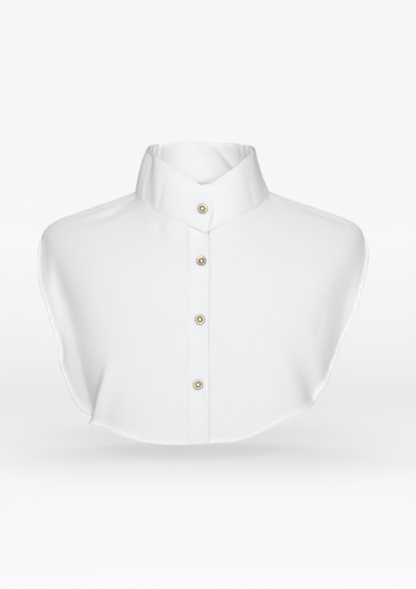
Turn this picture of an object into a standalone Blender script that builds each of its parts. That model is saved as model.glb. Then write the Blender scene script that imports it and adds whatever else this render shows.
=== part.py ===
"""A false shirt collar: a high overlapping collar band on a short bib that buttons down the front.

Metres, +Z up. The front faces -Y and the wearer's right is at -X. The origin is the middle of the neck,
level with the collar seam on top of the shoulders. The tables below are in millimetres.
"""

import math
from typing import NamedTuple

import bmesh
import bpy
import numpy as np

MM = 0.001

# Cloth thicknesses and the gap left at a seam
WALL = 1.2
BAND_WALL = 1.4
HEM_WALL = 2.0
HEM_PROUD = 0.4
HEM_WIDTH = 4.0
HEM_STEP = 1.3
SEAM_GAP = 0.3

# The front opening: where the placket's seam and free edge run, and how far the other front laps under
PLACKET_SEAM_X = -17.5
PLACKET_EDGE_X = 7.0
UNDERLAP_X = -14.0
UNDERLAP_DEPTH = 1.8
UNDERLAP_STARTS_X = 10.0
UNDERLAP_ENDS_X = 44.0
PLACKET_PROUD = 0.3

# The neck seam dips to a soft point at the centre front
NECK_X = -1.0
NECK_DIP = 15.0
NECK_DIP_X = 3.0
NECK_DIP_REACH = 18.0
NECK_DIP_BLUNT = 3.0
NECK_DIP_FADES_AT = 2.0
SHOULDER_ROUND = 1.3


class Section(NamedTuple):
    """One ring of the bib, from the neck seam outwards."""

    side_z: float  # height at the shoulder or side
    half_width: float
    front: float  # how far forward the centre front is
    front_drop: float  # how much lower than the side the centre front is
    back: float
    back_drop: float
    flat: float  # 2 is an ellipse, more is flatter across the chest
    turn: float  # 2 is an ellipse, less is sharper over the shoulder


SECTIONS = (
    Section(0.0, 78.3, 66.0, 33.0, 58.0, -13.0, 2.0, 2.0),
    Section(-7.9, 101.0, 70.0, 48.0, 63.0, -11.0, 2.0, 1.9),
    Section(-15.3, 124.0, 73.3, 51.0, 67.5, -7.5, 2.0, 1.8),
    Section(-23.2, 147.0, 76.8, 54.0, 72.0, -3.0, 2.0, 1.75),
    Section(-31.5, 169.0, 80.3, 57.5, 76.0, 1.5, 2.1, 1.75),
    Section(-42.0, 184.0, 83.8, 61.0, 79.5, 6.0, 2.2, 1.8),
    Section(-62.0, 190.5, 87.4, 59.0, 82.5, 6.0, 2.3, 1.9),
    Section(-92.0, 194.0, 91.0, 51.0, 85.5, 1.0, 2.4, 2.0),
    Section(-130.0, 193.0, 95.5, 39.0, 88.0, -7.0, 2.5, 2.1),
    Section(-170.0, 186.0, 102.0, 28.0, 89.5, -12.0, 2.6, 2.2),
    Section(-212.0, 173.0, 108.5, 17.0, 90.0, -17.0, 2.7, 2.3),
    Section(-256.0, 157.0, 113.0, 6.0, 90.0, -21.0, 2.8, 2.4),
    Section(-295.0, 142.0, 115.5, 0.0, 90.0, -20.0, 2.8, 2.4),
)
SHOULDER_TIP_LEVEL = 5.15


class HemRow(NamedTuple):
    """A point of a lower edge, seen from the front."""

    x: float
    z: float


class SideRow(NamedTuple):
    """A point of a side edge, seen from the side: its height and how far it hangs from the shoulder line."""

    z: float
    away: float


class Cut(NamedTuple):
    """The free edge of a panel, from the centre out and up to the tip of the shoulder."""

    hem: tuple
    side: tuple


FRONT_RIGHT_CUT = Cut(
    hem=(
        HemRow(-17.8, -283.4),
        HemRow(-40.0, -283.2),
        HemRow(-60.0, -281.4),
        HemRow(-83.0, -276.6),
        HemRow(-104.5, -269.2),
        HemRow(-118.0, -265.0),
        HemRow(-129.0, -260.5),
    ),
    side=(
        SideRow(-255.0, 66.0),
        SideRow(-246.0, 58.5),
        SideRow(-231.0, 54.0),
        SideRow(-214.3, 51.5),
        SideRow(-198.5, 48.5),
        SideRow(-181.5, 50.0),
        SideRow(-162.0, 48.0),
        SideRow(-144.0, 42.0),
        SideRow(-125.0, 34.0),
        SideRow(-103.0, 22.5),
        SideRow(-84.0, 14.5),
        SideRow(-66.0, 7.0),
        SideRow(-53.5, 2.5),
    ),
)

FRONT_LEFT_CUT = Cut(
    hem=(
        HemRow(-14.0, -283.0),
        HemRow(12.0, -281.4),
        HemRow(25.0, -280.8),
        HemRow(41.8, -278.5),
        HemRow(53.0, -275.4),
        HemRow(68.0, -268.4),
        HemRow(82.0, -261.6),
        HemRow(99.0, -253.4),
        HemRow(114.0, -247.6),
        HemRow(124.0, -243.8),
    ),
    side=(
        SideRow(-239.5, 79.5),
        SideRow(-229.0, 76.5),
        SideRow(-218.7, 71.0),
        SideRow(-208.9, 66.5),
        SideRow(-198.8, 64.3),
        SideRow(-182.6, 58.5),
        SideRow(-166.3, 53.0),
        SideRow(-149.9, 46.5),
        SideRow(-131.4, 40.0),
        SideRow(-110.8, 31.5),
        SideRow(-90.1, 21.0),
        SideRow(-69.3, 9.0),
        SideRow(-54.7, 3.0),
    ),
)

BACK_CUT = Cut(
    hem=(
        HemRow(0.0, -241.0),
        HemRow(35.0, -239.5),
        HemRow(66.0, -233.0),
        HemRow(92.0, -221.0),
    ),
    side=(
        SideRow(-205.0, 69.0),
        SideRow(-184.0, 60.0),
        SideRow(-160.0, 52.0),
        SideRow(-135.0, 43.0),
        SideRow(-110.0, 33.0),
        SideRow(-86.0, 21.0),
        SideRow(-66.0, 10.0),
        SideRow(-53.5, 3.5),
    ),
)


class Fold(NamedTuple):
    """A soft trough along a bent line in the front view; a negative depth makes it a ridge."""

    start: tuple
    bend: tuple
    end: tuple
    depths: tuple  # at the start, the bend and the end
    widths: tuple
    lean: float  # how far the deepest part is pulled towards +X


FRONT_FOLDS = (
    # Broad trough from the wearer's right shoulder, closing under the front at the hem
    Fold((-170, -72), (-146, -165), (-139, -262), (1.0, 6.5, 15.0), (12, 14, 9), 6.0),
    # The rolled edge of the front beside that trough
    Fold((-110, -180), (-113, -225), (-118, -268), (0.0, -2.0, -4.0), (9, 8, 8), -7.0),
    # The side hem turning under
    Fold((-166, -160), (-163, -182), (-166, -200), (0.0, 3.5, 0.0), (4, 5, 4), 0.0),
    # Trough from the wearer's left shoulder
    Fold((166, -85), (157, -134), (151, -196), (0.5, 4.5, 5.0), (10, 11, 9), -2.0),
    # Trough that runs to the lower corner on that side
    Fold((95, -160), (111, -204), (131, -245), (0.0, 4.5, 10.0), (14, 12, 7), 0.0),
    # Lobe of cloth between the two
    Fold((128, -165), (134, -196), (141, -224), (0.0, -2.5, -1.0), (9, 9, 7), 0.0),
    # Slack below the collar seam and along the shoulder
    Fold((-53, -32), (-49, -44), (-46, -60), (0.6, 1.6, 0.0), (5, 6, 6), 0.0),
    Fold((-90, -22), (-110, -28), (-132, -34), (0.4, 2.0, 0.0), (5, 6, 6), 0.0),
    # Slack beside the placket, low down
    Fold((16, -222), (22, -236), (31, -250), (0.0, 1.6, 0.6), (6, 7, 7), 0.0),
)

BACK_FOLDS = (
    Fold((-160, -80), (-132, -140), (-104, -222), (0.5, 4.0, 8.0), (12, 12, 11), 0.0),
    Fold((158, -90), (128, -145), (96, -224), (0.5, 3.5, 7.0), (12, 13, 11), 0.0),
    Fold((-22, -60), (-10, -150), (-6, -244), (0.0, 2.0, 4.0), (16, 18, 17), 0.0),
)


class TopEdge(NamedTuple):
    """Height of the collar's top edge at an angle round the neck, from the under end round the back."""

    degrees: float
    z: float


COLLAR_TOP = (
    TopEdge(-20, 6.5),
    TopEdge(0, 8.6),
    TopEdge(12, 11.4),
    TopEdge(20, 17.2),
    TopEdge(33, 26.4),
    TopEdge(53, 39.2),
    TopEdge(90, 51.0),
    TopEdge(135, 57.5),
    TopEdge(180, 60.3),
    TopEdge(225, 58.0),
    TopEdge(270, 52.5),
    TopEdge(310, 40.2),
    TopEdge(323, 32.3),
    TopEdge(342, 20.8),
    TopEdge(355, 12.2),
    TopEdge(362, 8.8),
    TopEdge(380, 2.0),
)
COLLAR_X, COLLAR_Y = -2.2, -3.5
COLLAR_HALF_WIDTH, COLLAR_HALF_DEPTH = 63.0, 53.5
COLLAR_END_REACH = 16  # the higher it is, the nearer to the ends their rounding stays


class CollarEnd(NamedTuple):
    """Where the two ends of the band reach, at a share of the height down from the top edge."""

    drop: float
    top_x: float
    under_x: float


COLLAR_ENDS = (
    CollarEnd(0.0, -5.0, -6.0),
    CollarEnd(0.05, 1.5, -9.0),
    CollarEnd(0.12, 7.6, -11.5),
    CollarEnd(0.22, 11.8, -12.5),
    CollarEnd(0.38, 13.2, -13.0),
    CollarEnd(0.52, 12.7, -13.0),
    CollarEnd(0.75, 10.4, -13.0),
    CollarEnd(1.0, 6.6, -13.0),
)


class Swell(NamedTuple):
    """How far the band bows out halfway up, at an angle round the neck."""

    degrees: float
    out: float


COLLAR_SWELLS = (
    Swell(-20, 0.5),
    Swell(30, 0.5),
    Swell(90, -2.0),
    Swell(140, 0.0),
    Swell(180, 1.0),
    Swell(225, 1.0),
    Swell(270, 1.8),
    Swell(320, 1.0),
    Swell(380, 0.5),
)


class BandFold(NamedTuple):
    """A soft upright trough in the collar band, from one angle at the top edge to another at the seam."""

    top_degrees: float
    foot_degrees: float
    top_depth: float
    foot_depth: float
    width_degrees: float


BAND_FOLD_FADE = 0.35  # share of the way from an edge to the middle at which a fold has its whole depth
BAND_FOLDS = (
    BandFold(289, 303, 2.0, 2.2, 9.0),
    BandFold(316, 322, 0.0, 1.0, 4.5),
    BandFold(71, 62, 0.8, 1.6, 9.0),
    BandFold(118, 124, 1.6, 0.5, 8.0),
    BandFold(148, 160, 1.4, 0.0, 7.0),
    BandFold(222, 214, 1.4, 0.2, 7.0),
)


class Button(NamedTuple):
    """A button's centre, seen from the front."""

    x: float
    z: float


COLLAR_BUTTON = Button(-0.7, -18.3)
FRONT_BUTTONS = (Button(-1.8, -77.4), Button(-3.4, -143.6), Button(-5.6, -216.3))
BUTTON_RADIUS = 5.7
BUTTON_SEGMENTS = 20


class Turning(NamedTuple):
    """A point of the button's turned profile: share of its radius, and height above its back."""

    radius_share: float
    height: float


BUTTON_PROFILE = (
    Turning(0.86, 0.0),
    Turning(1.0, 0.5),
    Turning(1.0, 1.7),
    Turning(0.92, 2.1),
    Turning(0.8, 2.0),
    Turning(0.74, 1.5),
    Turning(0.56, 1.5),
    Turning(0.48, 1.9),
    Turning(0.4, 1.5),
    Turning(0.24, 1.5),
    Turning(0.18, 2.1),
)

# Fineness of the grids
FRONT_COLUMNS, FRONT_ROWS = 34, 21
BACK_COLUMNS, BACK_ROWS = 36, 12
COLLAR_COLUMNS = 66
COLLAR_DROPS = (0.0, 0.05, 0.12, 0.24, 0.42, 0.62, 0.82, 1.0)
PLACKET_COLUMNS, PLACKET_ROWS = 5, 24
FRONT_LENGTH, BACK_LENGTH = 225.0, 215.0
NECK_SPREAD = 0.9
FOLD_STEPS = 60
FINE_STEPS = 2401
NUDGE = 1e-3
SHARP_ANGLE = math.radians(40)


class Crowd(NamedTuple):
    """Where along a front's free edge its columns lie closer together, as shares of the edge."""

    place: float
    reach: float
    strength: float


FRONT_RIGHT_CROWD = Crowd(0.345, 0.06, 2.2)
FRONT_LEFT_CROWD = Crowd(0.40, 0.07, 1.4)


class Finish(NamedTuple):
    """Colour, roughness and metallic value of a material."""

    color: tuple
    roughness: float
    metallic: float


CLOTH = Finish((0.86, 0.87, 0.885, 1.0), 0.85, 0.0)
BAND_CLOTH = Finish((0.87, 0.88, 0.895, 1.0), 0.82, 0.0)
BRASS = Finish((0.72, 0.58, 0.40, 1.0), 0.32, 1.0)


def curve(knots, rows, at):
    """Values at places between the knots, on a smooth curve through the rows."""
    knots, rows = np.asarray(knots, float), np.asarray(rows, float)
    slopes = np.gradient(rows, knots, axis=0)
    at = np.asarray(at, float)
    left = np.clip(np.searchsorted(knots, at) - 1, 0, len(knots) - 2)
    span = knots[left + 1] - knots[left]
    part = (at - knots[left]) / span
    if rows.ndim > 1:
        span, part = span[..., None], part[..., None]
    far = part * part * (3 - 2 * part)
    out = part * (1 - part) ** 2 * span
    back = part**2 * (part - 1) * span
    return rows[left] * (1 - far) + rows[left + 1] * far + slopes[left] * out + slopes[left + 1] * back


def ease(low, high, value):
    """0 below low, 1 above high, and smooth between."""
    part = np.clip((np.asarray(value, float) - low) / (high - low), 0, 1)
    return part * part * (3 - 2 * part)


def section_at(level):
    """The section's values at a level, which counts the rings outwards from the neck seam."""
    values = curve(range(len(SECTIONS)), SECTIONS, level)
    return Section(*np.moveaxis(values, -1, 0))


def plain_bib(angle, level):
    """Points of the bib without folds: angle 0 is the centre front and 90 degrees the wearer's left shoulder."""
    ring = section_at(level)
    sine = np.abs(np.sin(angle))
    reach = np.clip(1 - sine**ring.flat, 0, 1) ** (1 / ring.turn)
    in_front = np.cos(angle) > 0
    x = NECK_X * np.clip(1 - level, 0, 1) + ring.half_width * np.sin(angle)
    y = np.where(in_front, -ring.front, ring.back) * reach
    drop = np.where(in_front, ring.front_drop, ring.back_drop) * reach**SHOULDER_ROUND
    fade = np.maximum(1 - level / NECK_DIP_FADES_AT, 0) ** 2
    dip = NECK_DIP * np.exp(-np.hypot(x - NECK_DIP_X, NECK_DIP_BLUNT) / NECK_DIP_REACH) * fade * in_front
    return np.stack((x, y, ring.side_z - drop - dip), axis=-1)


def outward(surface, across, down):
    """Unit normals of a surface, from its points just to each side."""
    side = surface(across + NUDGE, down) - surface(across - NUDGE, down)
    fall = surface(across, down + NUDGE) - surface(across, down - NUDGE)
    normal = np.cross(fall, side)
    return normal / np.linalg.norm(normal, axis=-1, keepdims=True)


def press_of(fold, points):
    """How far a fold presses each point in, negative for a ridge."""
    share = np.linspace(0, 1, FOLD_STEPS)
    path = curve((0, 0.5, 1), (fold.start, fold.bend, fold.end), share)
    depths = curve((0, 0.5, 1), fold.depths, share)
    widths = curve((0, 0.5, 1), fold.widths, share)
    away = np.linalg.norm(points[..., None, (0, 2)] - path, axis=-1)
    presses = depths * np.exp(-((away / widths) ** 2))
    strongest = np.abs(presses).argmax(axis=-1)
    return np.take_along_axis(presses, strongest[..., None], axis=-1)[..., 0]


def bib(angle, level):
    """Points of the bib with its folds."""
    angle, level = np.broadcast_arrays(np.asarray(angle, float), np.asarray(level, float))
    plain = plain_bib(angle, level)
    normals = outward(plain_bib, angle, level)
    points = plain.copy()
    for folds, here in ((FRONT_FOLDS, np.cos(angle) > 0), (BACK_FOLDS, np.cos(angle) <= 0)):
        for fold in folds:
            press = press_of(fold, plain) * here
            points -= normals * press[..., None]
            points[..., 0] += fold.lean * press / max(map(abs, fold.depths))
    return points


def collar_x(turn, drop):
    """The collar band's x at an angle round the neck and a drop down from its top edge."""
    seam = section_at(0)
    middle = COLLAR_X + (NECK_X - COLLAR_X) * drop
    half = COLLAR_HALF_WIDTH + (seam.half_width - COLLAR_HALF_WIDTH) * drop
    return middle + half * np.sin(turn)


def turn_at(x, drop):
    """Angle near the centre front at which the collar band passes x."""
    middle = collar_x(0.0, drop)
    half = collar_x(math.pi / 2, drop) - middle
    return np.arcsin((x - middle) / half)


def collar(turn, drop):
    """Points of the collar band: turn is the angle round the neck, and drop runs from the top edge to the seam."""
    turn, drop = np.broadcast_arrays(np.asarray(turn, float), np.asarray(drop, float))
    degrees = np.degrees(turn)
    top = np.stack(
        (
            COLLAR_X + COLLAR_HALF_WIDTH * np.sin(turn),
            COLLAR_Y - COLLAR_HALF_DEPTH * np.cos(turn),
            curve([row.degrees for row in COLLAR_TOP], [row.z for row in COLLAR_TOP], degrees),
        ),
        axis=-1,
    )
    seam = plain_bib(turn, np.zeros_like(turn))
    swell = curve([row.degrees for row in COLLAR_SWELLS], [row.out for row in COLLAR_SWELLS], degrees)
    bow = 4 * drop * (1 - drop)
    bowed = swell * bow
    for fold in BAND_FOLDS:
        middle = fold.top_degrees + (fold.foot_degrees - fold.top_degrees) * drop
        depth = fold.top_depth + (fold.foot_depth - fold.top_depth) * drop
        here = np.exp(-(((degrees - middle) / fold.width_degrees) ** 2))
        bowed -= depth * here * np.minimum(bow / BAND_FOLD_FADE, 1)
    out = np.stack((np.sin(turn), -np.cos(turn), np.zeros_like(turn)), axis=-1)
    return top + (seam - top) * drop[..., None] + out * bowed[..., None]


def edge_places(cut, side, tip):
    """Angles and levels of a cut edge's rows, ending at the shoulder tip; side is -1, 1 or 0 for the back."""
    levels = np.linspace(0, len(SECTIONS) - 1, FINE_STEPS)
    rings = section_at(levels)
    behind = side == 0
    depth = rings.back if behind else rings.front
    drop = rings.back_drop if behind else rings.front_drop
    places = []
    for row in cut.hem:
        sine = np.clip(np.abs(row.x) / rings.half_width, 0, 1)
        reach = (1 - sine**rings.flat) ** (1 / rings.turn)
        heights = rings.side_z - drop * reach**SHOULDER_ROUND
        level = np.interp(-row.z, -heights, levels)
        angle = math.asin(row.x / section_at(level).half_width)
        places.append((math.pi - angle if behind else angle, level))
    for row in cut.side:
        reach = np.clip(row.away / depth, 0, 1)
        heights = rings.side_z - drop * reach**SHOULDER_ROUND
        level = np.interp(-row.z, -heights, levels)
        ring = section_at(level)
        share = row.away / (ring.back if behind else ring.front)
        sine = (1 - share**ring.turn) ** (1 / ring.flat)
        angle = math.asin(sine)
        places.append((math.pi - angle if behind else side * angle, level))
    places.append((math.pi / 2 if behind else side * math.pi / 2, tip))
    return np.array(places)


def along_edge(places, shares):
    """Angles and levels at shares of an edge's length."""
    points = plain_bib(places[:, 0], places[:, 1])
    run = np.concatenate(([0], np.cumsum(np.linalg.norm(np.diff(points, axis=0), axis=1))))
    return curve(run / run[-1], places, shares)


def gathered_shares(count, crowd):
    """Shares from 0 to 1 that lie closer together near the crowd's place."""
    fine = np.linspace(0, 1, FINE_STEPS)
    density = 1 + crowd.strength * np.exp(-(((fine - crowd.place) / crowd.reach) ** 2))
    total = np.concatenate(([0], np.cumsum((density[1:] + density[:-1]) / 2)))
    return np.interp(np.linspace(0, 1, count), total / total[-1], fine)


def fan(neck_angle, edge, shares, rows):
    """Angles and levels of a panel's grid, whose columns fan out from the neck seam to the cut edge."""
    down = rows[:, None]
    level = edge[None, :, 1] * down
    half_width = section_at(level).half_width
    neck_x = section_at(0).half_width * np.sin(neck_angle)
    edge_x = section_at(edge[:, 1]).half_width * np.sin(edge[:, 0])
    straight = np.arcsin(np.clip((neck_x + (edge_x - neck_x) * down) / half_width, -1, 1))
    behind = np.cos(edge[:, 0]) < 0
    straight = np.where(behind, math.pi - straight, straight)
    turned = neck_angle + (edge[:, 0] - neck_angle) * down
    return straight + (turned - straight) * (shares**2)[None, :], level


def hem_rows(count, length):
    """Shares down a panel's columns, with two rows close together where the hem's strip begins."""
    strip, before = HEM_WIDTH / length, (HEM_WIDTH + HEM_STEP) / length
    return np.concatenate((np.linspace(0, 1 - before, count - 2), (1 - strip, 1.0)))


def trim(points, axis, end, amount):
    """Points with one border row moved in towards the next."""
    moved = np.moveaxis(points, axis, 0).copy()
    border, beside = (0, 1) if end == 0 else (-1, -2)
    step = moved[beside] - moved[border]
    moved[border] += step * amount / np.linalg.norm(step, axis=-1, keepdims=True)
    return np.moveaxis(moved, 0, axis)


def material_of(name, finish):
    """A plain material."""
    material = bpy.data.materials.new(name)
    material.use_nodes = True
    shader = material.node_tree.nodes["Principled BSDF"]
    shader.inputs["Base Color"].default_value = finish.color
    shader.inputs["Roughness"].default_value = finish.roughness
    shader.inputs["Metallic"].default_value = finish.metallic
    return material


def add_object(name, mesh_maker, material):
    """A new object in the scene, from a filled bmesh."""
    bmesh.ops.recalc_face_normals(mesh_maker, faces=mesh_maker.faces)
    mesh = bpy.data.meshes.new(name)
    mesh_maker.to_mesh(mesh)
    mesh_maker.free()
    mesh.materials.append(material)
    mesh.shade_smooth()
    mesh.set_sharp_from_angle(angle=SHARP_ANGLE)
    piece = bpy.data.objects.new(name, mesh)
    bpy.context.scene.collection.objects.link(piece)
    return piece


def add_wall(name, outer, inner, material):
    """A closed wall of cloth between two grids of points."""
    rows, columns = outer.shape[:2]
    maker = bmesh.new()
    sheets = [
        [[maker.verts.new(point * MM) for point in row] for row in grid.astype(float)]
        for grid in (outer, inner)
    ]
    for sheet in sheets:
        for i in range(rows - 1):
            for j in range(columns - 1):
                maker.faces.new((sheet[i][j], sheet[i][j + 1], sheet[i + 1][j + 1], sheet[i + 1][j]))
    border = [(0, j) for j in range(columns)]
    border += [(i, columns - 1) for i in range(1, rows)]
    border += [(rows - 1, j) for j in range(columns - 2, -1, -1)]
    border += [(i, 0) for i in range(rows - 2, 0, -1)]
    for (i, j), (k, m) in zip(border, border[1:] + border[:1]):
        maker.faces.new((sheets[0][i][j], sheets[0][k][m], sheets[1][k][m], sheets[1][i][j]))
    return add_object(name, maker, material)


def panel_walls(points, normals, in_hem):
    """Outer and inner grids of a bib panel, thicker along its hem."""
    outer = points + normals * (HEM_PROUD * in_hem)[..., None]
    inner = outer - normals * (WALL + (HEM_WALL - WALL) * in_hem)[..., None]
    return outer, inner


def underlap(x):
    """How far the lower layer lies below the upper one beside the front opening."""
    return UNDERLAP_DEPTH * (1 - ease(UNDERLAP_STARTS_X, UNDERLAP_ENDS_X, x))


def add_front(name, side, cut, crowd, material):
    """One front of the bib: side is -1 for the wearer's right, which laps on top, and 1 for the left."""
    places = edge_places(cut, side, SHOULDER_TIP_LEVEL)
    shares = gathered_shares(FRONT_COLUMNS, crowd)
    edge = along_edge(places, shares)
    centre_x = PLACKET_SEAM_X if side < 0 else UNDERLAP_X
    first = math.asin(centre_x / section_at(0).half_width)
    neck_angle = first + (side * math.pi / 2 - first) * shares**NECK_SPREAD
    rows = hem_rows(FRONT_ROWS, FRONT_LENGTH)
    angle, level = fan(neck_angle, edge, shares, rows)
    points, normals = bib(angle, level), outward(bib, angle, level)
    if side > 0:
        points = points - normals * underlap(points[..., 0])[..., None]
    in_hem = np.zeros(level.shape)
    in_hem[-2:] = 1
    points[:, -1, 1] -= SEAM_GAP / 2
    points = trim(points, 0, 0, SEAM_GAP / 2)
    if side < 0:
        points = trim(points, 1, 0, SEAM_GAP / 2)
    return add_wall(name, *panel_walls(points, normals, in_hem), material)


def add_back(material):
    """The back of the bib, from shoulder seam to shoulder seam."""
    places = edge_places(BACK_CUT, 0, SHOULDER_TIP_LEVEL)
    half = (BACK_COLUMNS + 1) // 2
    shares = np.linspace(0, 1, half)
    edge = along_edge(places, shares)
    mirrored = edge[:0:-1].copy()
    mirrored[:, 0] = 2 * math.pi - mirrored[:, 0]
    edge = np.vstack((mirrored, edge))
    turned = np.concatenate((-shares[:0:-1], shares))
    neck_angle = math.pi - turned * math.pi / 2
    rows = hem_rows(BACK_ROWS, BACK_LENGTH)
    angle, level = fan(neck_angle, edge, np.abs(turned), rows)
    points, normals = bib(angle, level), outward(bib, angle, level)
    in_hem = np.zeros(level.shape)
    in_hem[-2:] = 1
    for column in (0, -1):
        points[:, column, 1] += SEAM_GAP / 2
    points = trim(points, 0, 0, SEAM_GAP / 2)
    return add_wall("back", *panel_walls(points, normals, in_hem), material)


def add_collar(material):
    """The collar band, from its under end round the back to the rounded end on top."""
    drop = np.array(COLLAR_DROPS)
    ends = curve([row.drop for row in COLLAR_ENDS], COLLAR_ENDS, drop)
    first = turn_at(ends[:, 2], drop)
    last = 2 * math.pi + turn_at(ends[:, 1], drop)
    share = np.linspace(0, 1, COLLAR_COLUMNS)
    plain_first, plain_last = first[-1], last.max()
    turn = plain_first + (plain_last - plain_first) * share[None, :]
    turn = turn + (last - plain_last)[:, None] * share**COLLAR_END_REACH
    turn = turn + (first - plain_first)[:, None] * (1 - share) ** COLLAR_END_REACH
    drop = np.broadcast_to(drop[:, None], turn.shape)
    points, normals = collar(turn, drop), outward(collar, turn, drop)
    lower = underlap(points[..., 0]) * (turn < math.pi / 2)
    points = points - normals * lower[..., None]
    points = trim(points, 0, -1, SEAM_GAP / 2)
    return add_wall("collar", points, points - normals * WALL, material)


def level_on_front(x, z):
    """Level at which the plain front passes a height, along a line of constant x."""
    levels = np.linspace(0, len(SECTIONS) - 1, FINE_STEPS)
    angle = np.arcsin(x / section_at(levels).half_width)
    return np.interp(-z, -plain_bib(angle, levels)[:, 2], levels)


def add_placket(material):
    """The buttonhole band down the front edge."""
    xs = np.linspace(PLACKET_SEAM_X, PLACKET_EDGE_X, PLACKET_COLUMNS)
    hem = FRONT_RIGHT_CUT.hem[0], FRONT_LEFT_CUT.hem[1]
    foot_z = np.interp(xs, [row.x for row in hem], [row.z for row in hem])
    foot = np.array([level_on_front(x, z) for x, z in zip(xs, foot_z)])
    level = np.linspace(0, 1, PLACKET_ROWS)[:, None] * foot[None, :]
    angle = np.arcsin(xs[None, :] / section_at(level).half_width)
    points, normals = bib(angle, level), outward(bib, angle, level)
    points = points + normals * PLACKET_PROUD
    points = trim(points, 1, 0, SEAM_GAP / 2)
    points = trim(points, 0, 0, SEAM_GAP / 2)
    return add_wall("placket", points, points - normals * BAND_WALL, material)


def add_button(name, point, normal, material):
    """A turned button that lies on the cloth at a point, facing along the normal."""
    maker = bmesh.new()
    facing = normal / np.linalg.norm(normal)
    level = np.cross((0.0, 0.0, 1.0), facing)
    level /= np.linalg.norm(level)
    upright = np.cross(facing, level)
    rings = []
    for row in BUTTON_PROFILE:
        radius = row.radius_share * BUTTON_RADIUS
        base = point + facing * (SEAM_GAP + row.height)
        ring = []
        for step in range(BUTTON_SEGMENTS):
            angle = step * 2 * math.pi / BUTTON_SEGMENTS
            place = base + (level * math.cos(angle) + upright * math.sin(angle)) * radius
            ring.append(maker.verts.new(place * MM))
        rings.append(ring)
    for lower, upper in zip(rings, rings[1:]):
        for step in range(BUTTON_SEGMENTS):
            after = (step + 1) % BUTTON_SEGMENTS
            maker.faces.new((lower[step], lower[after], upper[after], upper[step]))
    maker.faces.new(rings[0][::-1])
    maker.faces.new(rings[-1])
    return add_object(name, maker, material)


def add_buttons(material):
    """The collar's button, and the three down the placket."""
    drop = np.linspace(0, 1, FINE_STEPS)
    turn = 2 * math.pi + turn_at(COLLAR_BUTTON.x, drop)
    drop_here = np.interp(-COLLAR_BUTTON.z, -collar(turn, drop)[:, 2], drop)
    turn_here = 2 * math.pi + turn_at(COLLAR_BUTTON.x, drop_here)
    point, normal = collar(turn_here, drop_here), outward(collar, turn_here, drop_here)
    add_button("button_1", point, normal, material)
    for number, button in enumerate(FRONT_BUTTONS, start=2):
        level = level_on_front(button.x, button.z)
        angle = math.asin(button.x / section_at(level).half_width)
        normal = outward(bib, angle, level)
        add_button(f"button_{number}", bib(angle, level) + normal * PLACKET_PROUD, normal, material)


def main():
    """Clears the scene and builds the garment."""
    for old in list(bpy.data.objects):
        bpy.data.objects.remove(old, do_unlink=True)
    cloth = material_of("cloth", CLOTH)
    band_cloth = material_of("band_cloth", BAND_CLOTH)
    brass = material_of("brass", BRASS)
    add_front("front_right", -1, FRONT_RIGHT_CUT, FRONT_RIGHT_CROWD, cloth)
    add_front("front_left", 1, FRONT_LEFT_CUT, FRONT_LEFT_CROWD, cloth)
    add_back(cloth)
    add_collar(band_cloth)
    add_placket(band_cloth)
    add_buttons(brass)


main()
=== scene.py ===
"""The finished look of a false shirt collar: a high overlapping band on a short bib that buttons down.

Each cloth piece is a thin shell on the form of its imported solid, with hems, edge stitching and small
creases. Objects are in metres, +Z up, with the front facing -Y. The tables and the form are in millimetres.
"""

from __future__ import annotations

import logging
import math
from dataclasses import dataclass
from enum import Enum
from typing import Any, NamedTuple

import bmesh
import bpy
import numpy as np
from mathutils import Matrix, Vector


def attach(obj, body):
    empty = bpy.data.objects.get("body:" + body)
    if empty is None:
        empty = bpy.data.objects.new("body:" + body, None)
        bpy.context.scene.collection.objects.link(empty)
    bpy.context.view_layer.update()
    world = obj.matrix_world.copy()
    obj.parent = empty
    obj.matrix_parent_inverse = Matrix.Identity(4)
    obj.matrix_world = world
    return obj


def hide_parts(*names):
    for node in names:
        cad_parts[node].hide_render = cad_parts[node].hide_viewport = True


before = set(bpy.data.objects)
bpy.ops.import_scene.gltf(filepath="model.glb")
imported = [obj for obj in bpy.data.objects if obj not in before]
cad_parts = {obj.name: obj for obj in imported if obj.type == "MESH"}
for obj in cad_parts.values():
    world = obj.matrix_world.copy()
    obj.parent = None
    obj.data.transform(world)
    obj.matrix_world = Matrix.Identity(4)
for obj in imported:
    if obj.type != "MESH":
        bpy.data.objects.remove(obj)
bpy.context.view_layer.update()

Array = np.ndarray
Color = tuple[float, float, float, float]
Material = bpy.types.Material
Object = bpy.types.Object
Node = bpy.types.Node
Socket = bpy.types.NodeSocket
Tree = bpy.types.NodeTree
LOG = logging.getLogger("false_collar")
BODY = "root"
MM = 0.001

# The front opening and the neck seam, as on the solids
PLACKET_SEAM_X, PLACKET_EDGE_X, PLACKET_TUCK = -17.5, 7.0, 1.2
UNDERLAP_X, UNDERLAP_DEPTH = -14.0, 1.8
UNDERLAP_STARTS_X, UNDERLAP_ENDS_X = 10.0, 44.0
NECK_X, NECK_SPREAD = -1.0, 0.9
NECK_DIP, NECK_DIP_X, NECK_DIP_REACH = 15.0, 3.0, 18.0
NECK_DIP_BLUNT, NECK_DIP_FADES_AT = 3.0, 2.0
SHOULDER_ROUND, SHOULDER_TIP_LEVEL = 1.3, 5.15
COLLAR_X, COLLAR_Y = -2.2, -3.5
COLLAR_HALF_WIDTH, COLLAR_HALF_DEPTH = 63.0, 53.5
PLACKET_TUCK_SHARE = 0.1
COLLAR_END_REACH = 16
BAND_FOLD_FADE = 0.35

# How the bib's edges bend out and forward
HEM_FLARE, SIDE_FLARE, HEM_FLARE_REACH = 1.0, 1.8, 8.0
HEM_ROLL_AT, HEM_ROLL_REACH = -92.0, 30.0
SIDE_LIFT_REACH, LOW_LIFT_SHARE = 28.0, 0.4
LOW_LIFT_Z, FULL_LIFT_Z = -170, -110
SEAM_FADE = 26

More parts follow.
